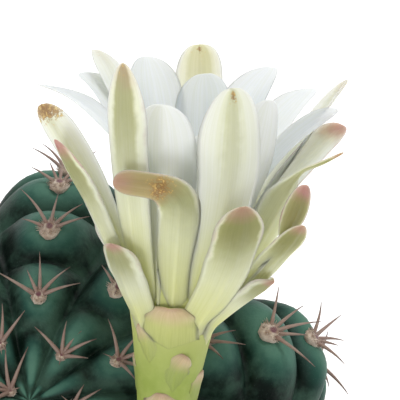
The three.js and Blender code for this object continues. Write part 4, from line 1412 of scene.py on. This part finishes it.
clay_paint, tree, shader = new_material("clay_paint", Roughness=0.85)
fired = mottled(tree, clay, warm_clay, 0.06, 0.45)
limed = mottled(tree, fired.outputs["Colour"], lime, 0.04, 0.16)
specks = dots(tree, 0.6, 0.1, 0.16, 0.5)
speckled = colour_mix(tree, specks, limed.outputs["Colour"], dark_speck)
height = add(tree, "ShaderNodeSeparateXYZ", {"Vector": place_on(tree)}).outputs["Z"]
tide = sums(tree, "MULTIPLY_ADD", fired.outputs["Mask"], 9 * MM, height)
tide_share = fade(tree, tide, 10 * MM, 30 * MM, 0.3, 0.0)
feed(tree, shader.inputs["Base Color"], colour_mix(tree, tide_share, speckled, foot_lime))
turning = sums(tree, "SINE", times(tree, height, 2.6 * PER_MM))
clay_grain = use_group(tree, grain, Size=2.2, Coarse_Share=0.5)
clay_height = sums(tree, "MULTIPLY_ADD", turning, 0.12, clay_grain.outputs["Height"])
bump(tree, shader, clay_height, 0.5, 0.3)
finish_piece("clay_pot", pot_bm, clay_paint, ["pot"])

# %% [markdown]
# ## Soil
# The soil fills the pot to just below its rim. It is a spun solid with a lumpy top, and loose angular
# grit lies on it. The grit is one small stone, copied with a different turn, size and stretch each
# time, and its tone is kept in a colour layer.

# %% Soil
SOIL_HEIGHT = 70
HOLLOW_DEPTH, HOLLOW_RADIUS = 3.5, 14  # the dip under the body that the neck stands in
TOP_RINGS, SOIL_SEGMENTS = 16, 120
SOIL_WAVES = ((0.3, 0.8), (1.1, 0.3))  # how close and how high its lumps are
hole_edge = BODY_RADIUS * math.sqrt(1 - ((CENTRE_HEIGHT - SOIL_HEIGHT) / HALF_HEIGHT) ** 2)
outer_edge = mix(INNER_WAIST, INNER_RIM, (SOIL_HEIGHT - BAND_BOTTOM) / RIM_HEIGHT) - GAP
soil_bm = bmesh.new()
soil_profile = [
    (POT_FLOOR + GAP, 0),
    (POT_FLOOR + GAP, INNER_FOOT - GAP),
    (BAND_BOTTOM, INNER_WAIST - GAP),
    *((SOIL_HEIGHT, mix(outer_edge, hole_edge + 1, i / TOP_RINGS)) for i in range(TOP_RINGS + 1)),
    (SOIL_HEIGHT - HOLLOW_DEPTH, HOLLOW_RADIUS),
    (SOIL_HEIGHT - HOLLOW_DEPTH, 0),
]
spin_profile(soil_bm, soil_profile, SOIL_SEGMENTS)
tint = new_layer(soil_bm, "tint")
for vert in soil_bm.verts:
    vert[tint] = (0, 0, 0, 1)
    if vert.co.z > SOIL_HEIGHT - 0.1 and math.hypot(vert.co.x, vert.co.y) < outer_edge - 0.5:
        vert.co.z += sum(height * noise.noise(vert.co * pitch) for pitch, height in SOIL_WAVES)
print("soil filled to", SOIL_HEIGHT, "mm")

# %% Grit
GRIT_COUNT, GRIT_SMALLEST, GRIT_LARGEST = 1500, 0.5, 1.25
dice = random.Random(77)
for _ in range(GRIT_COUNT):
    turn = dice.uniform(0, TAU)
    reach = math.sqrt(mix((hole_edge + 2) ** 2, (outer_edge - 1.2) ** 2, dice.random()))
    size = dice.uniform(GRIT_SMALLEST, GRIT_LARGEST)
    place = Matrix.Translation(ring_point(turn, reach, SOIL_HEIGHT + 0.35 * size))
    spin = Matrix.Rotation(dice.uniform(0, TAU), 4, Vector((dice.random(), dice.random(), 1)).normalized())
    stretch = Matrix.Diagonal((size * dice.uniform(0.8, 1.3), size, size * dice.uniform(0.6, 0.9), 1))
    made = bmesh.ops.create_icosphere(soil_bm, subdivisions=1, radius=1, matrix=place @ spin @ stretch)
    tone = dice.random()
    for vert in made["verts"]:
        vert[tint] = (tone, dice.random(), 1, 1)  # the second number is spare

grit_paint, tree, shader = new_material("grit_paint", Roughness=0.95)
tone, _, is_stone = painted(tree, "tint")
stone = colour_mix(tree, fade(tree, tone, 0.2, 0.9), (0.14, 0.09, 0.055, 1), (0.42, 0.34, 0.26, 1))
ground = mottled(tree, (0.07, 0.045, 0.028, 1), (0.15, 0.1, 0.065, 1), 0.7, 0.9)
laid = colour_mix(tree, is_stone, ground.outputs["Colour"], stone)
feed(tree, shader.inputs["Base Color"], laid)
grained(tree, shader, 3.0, 1.0, 0.9, 0.4)
finish_piece("gritty_soil", soil_bm, grit_paint, ["soil"], smooth=False)

# %% [markdown]
# ## Last: the two boxes
# Both boxes are printed: the box of the solids and the box of the visual model. The
# visual model has to stay in the box of the solids.

# %% Sizes
visual_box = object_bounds()
for name, box in (("solids", cad_box), ("visual", visual_box)):
    print(name, [[round(value / MM, 1) for value in corner] for corner in box])
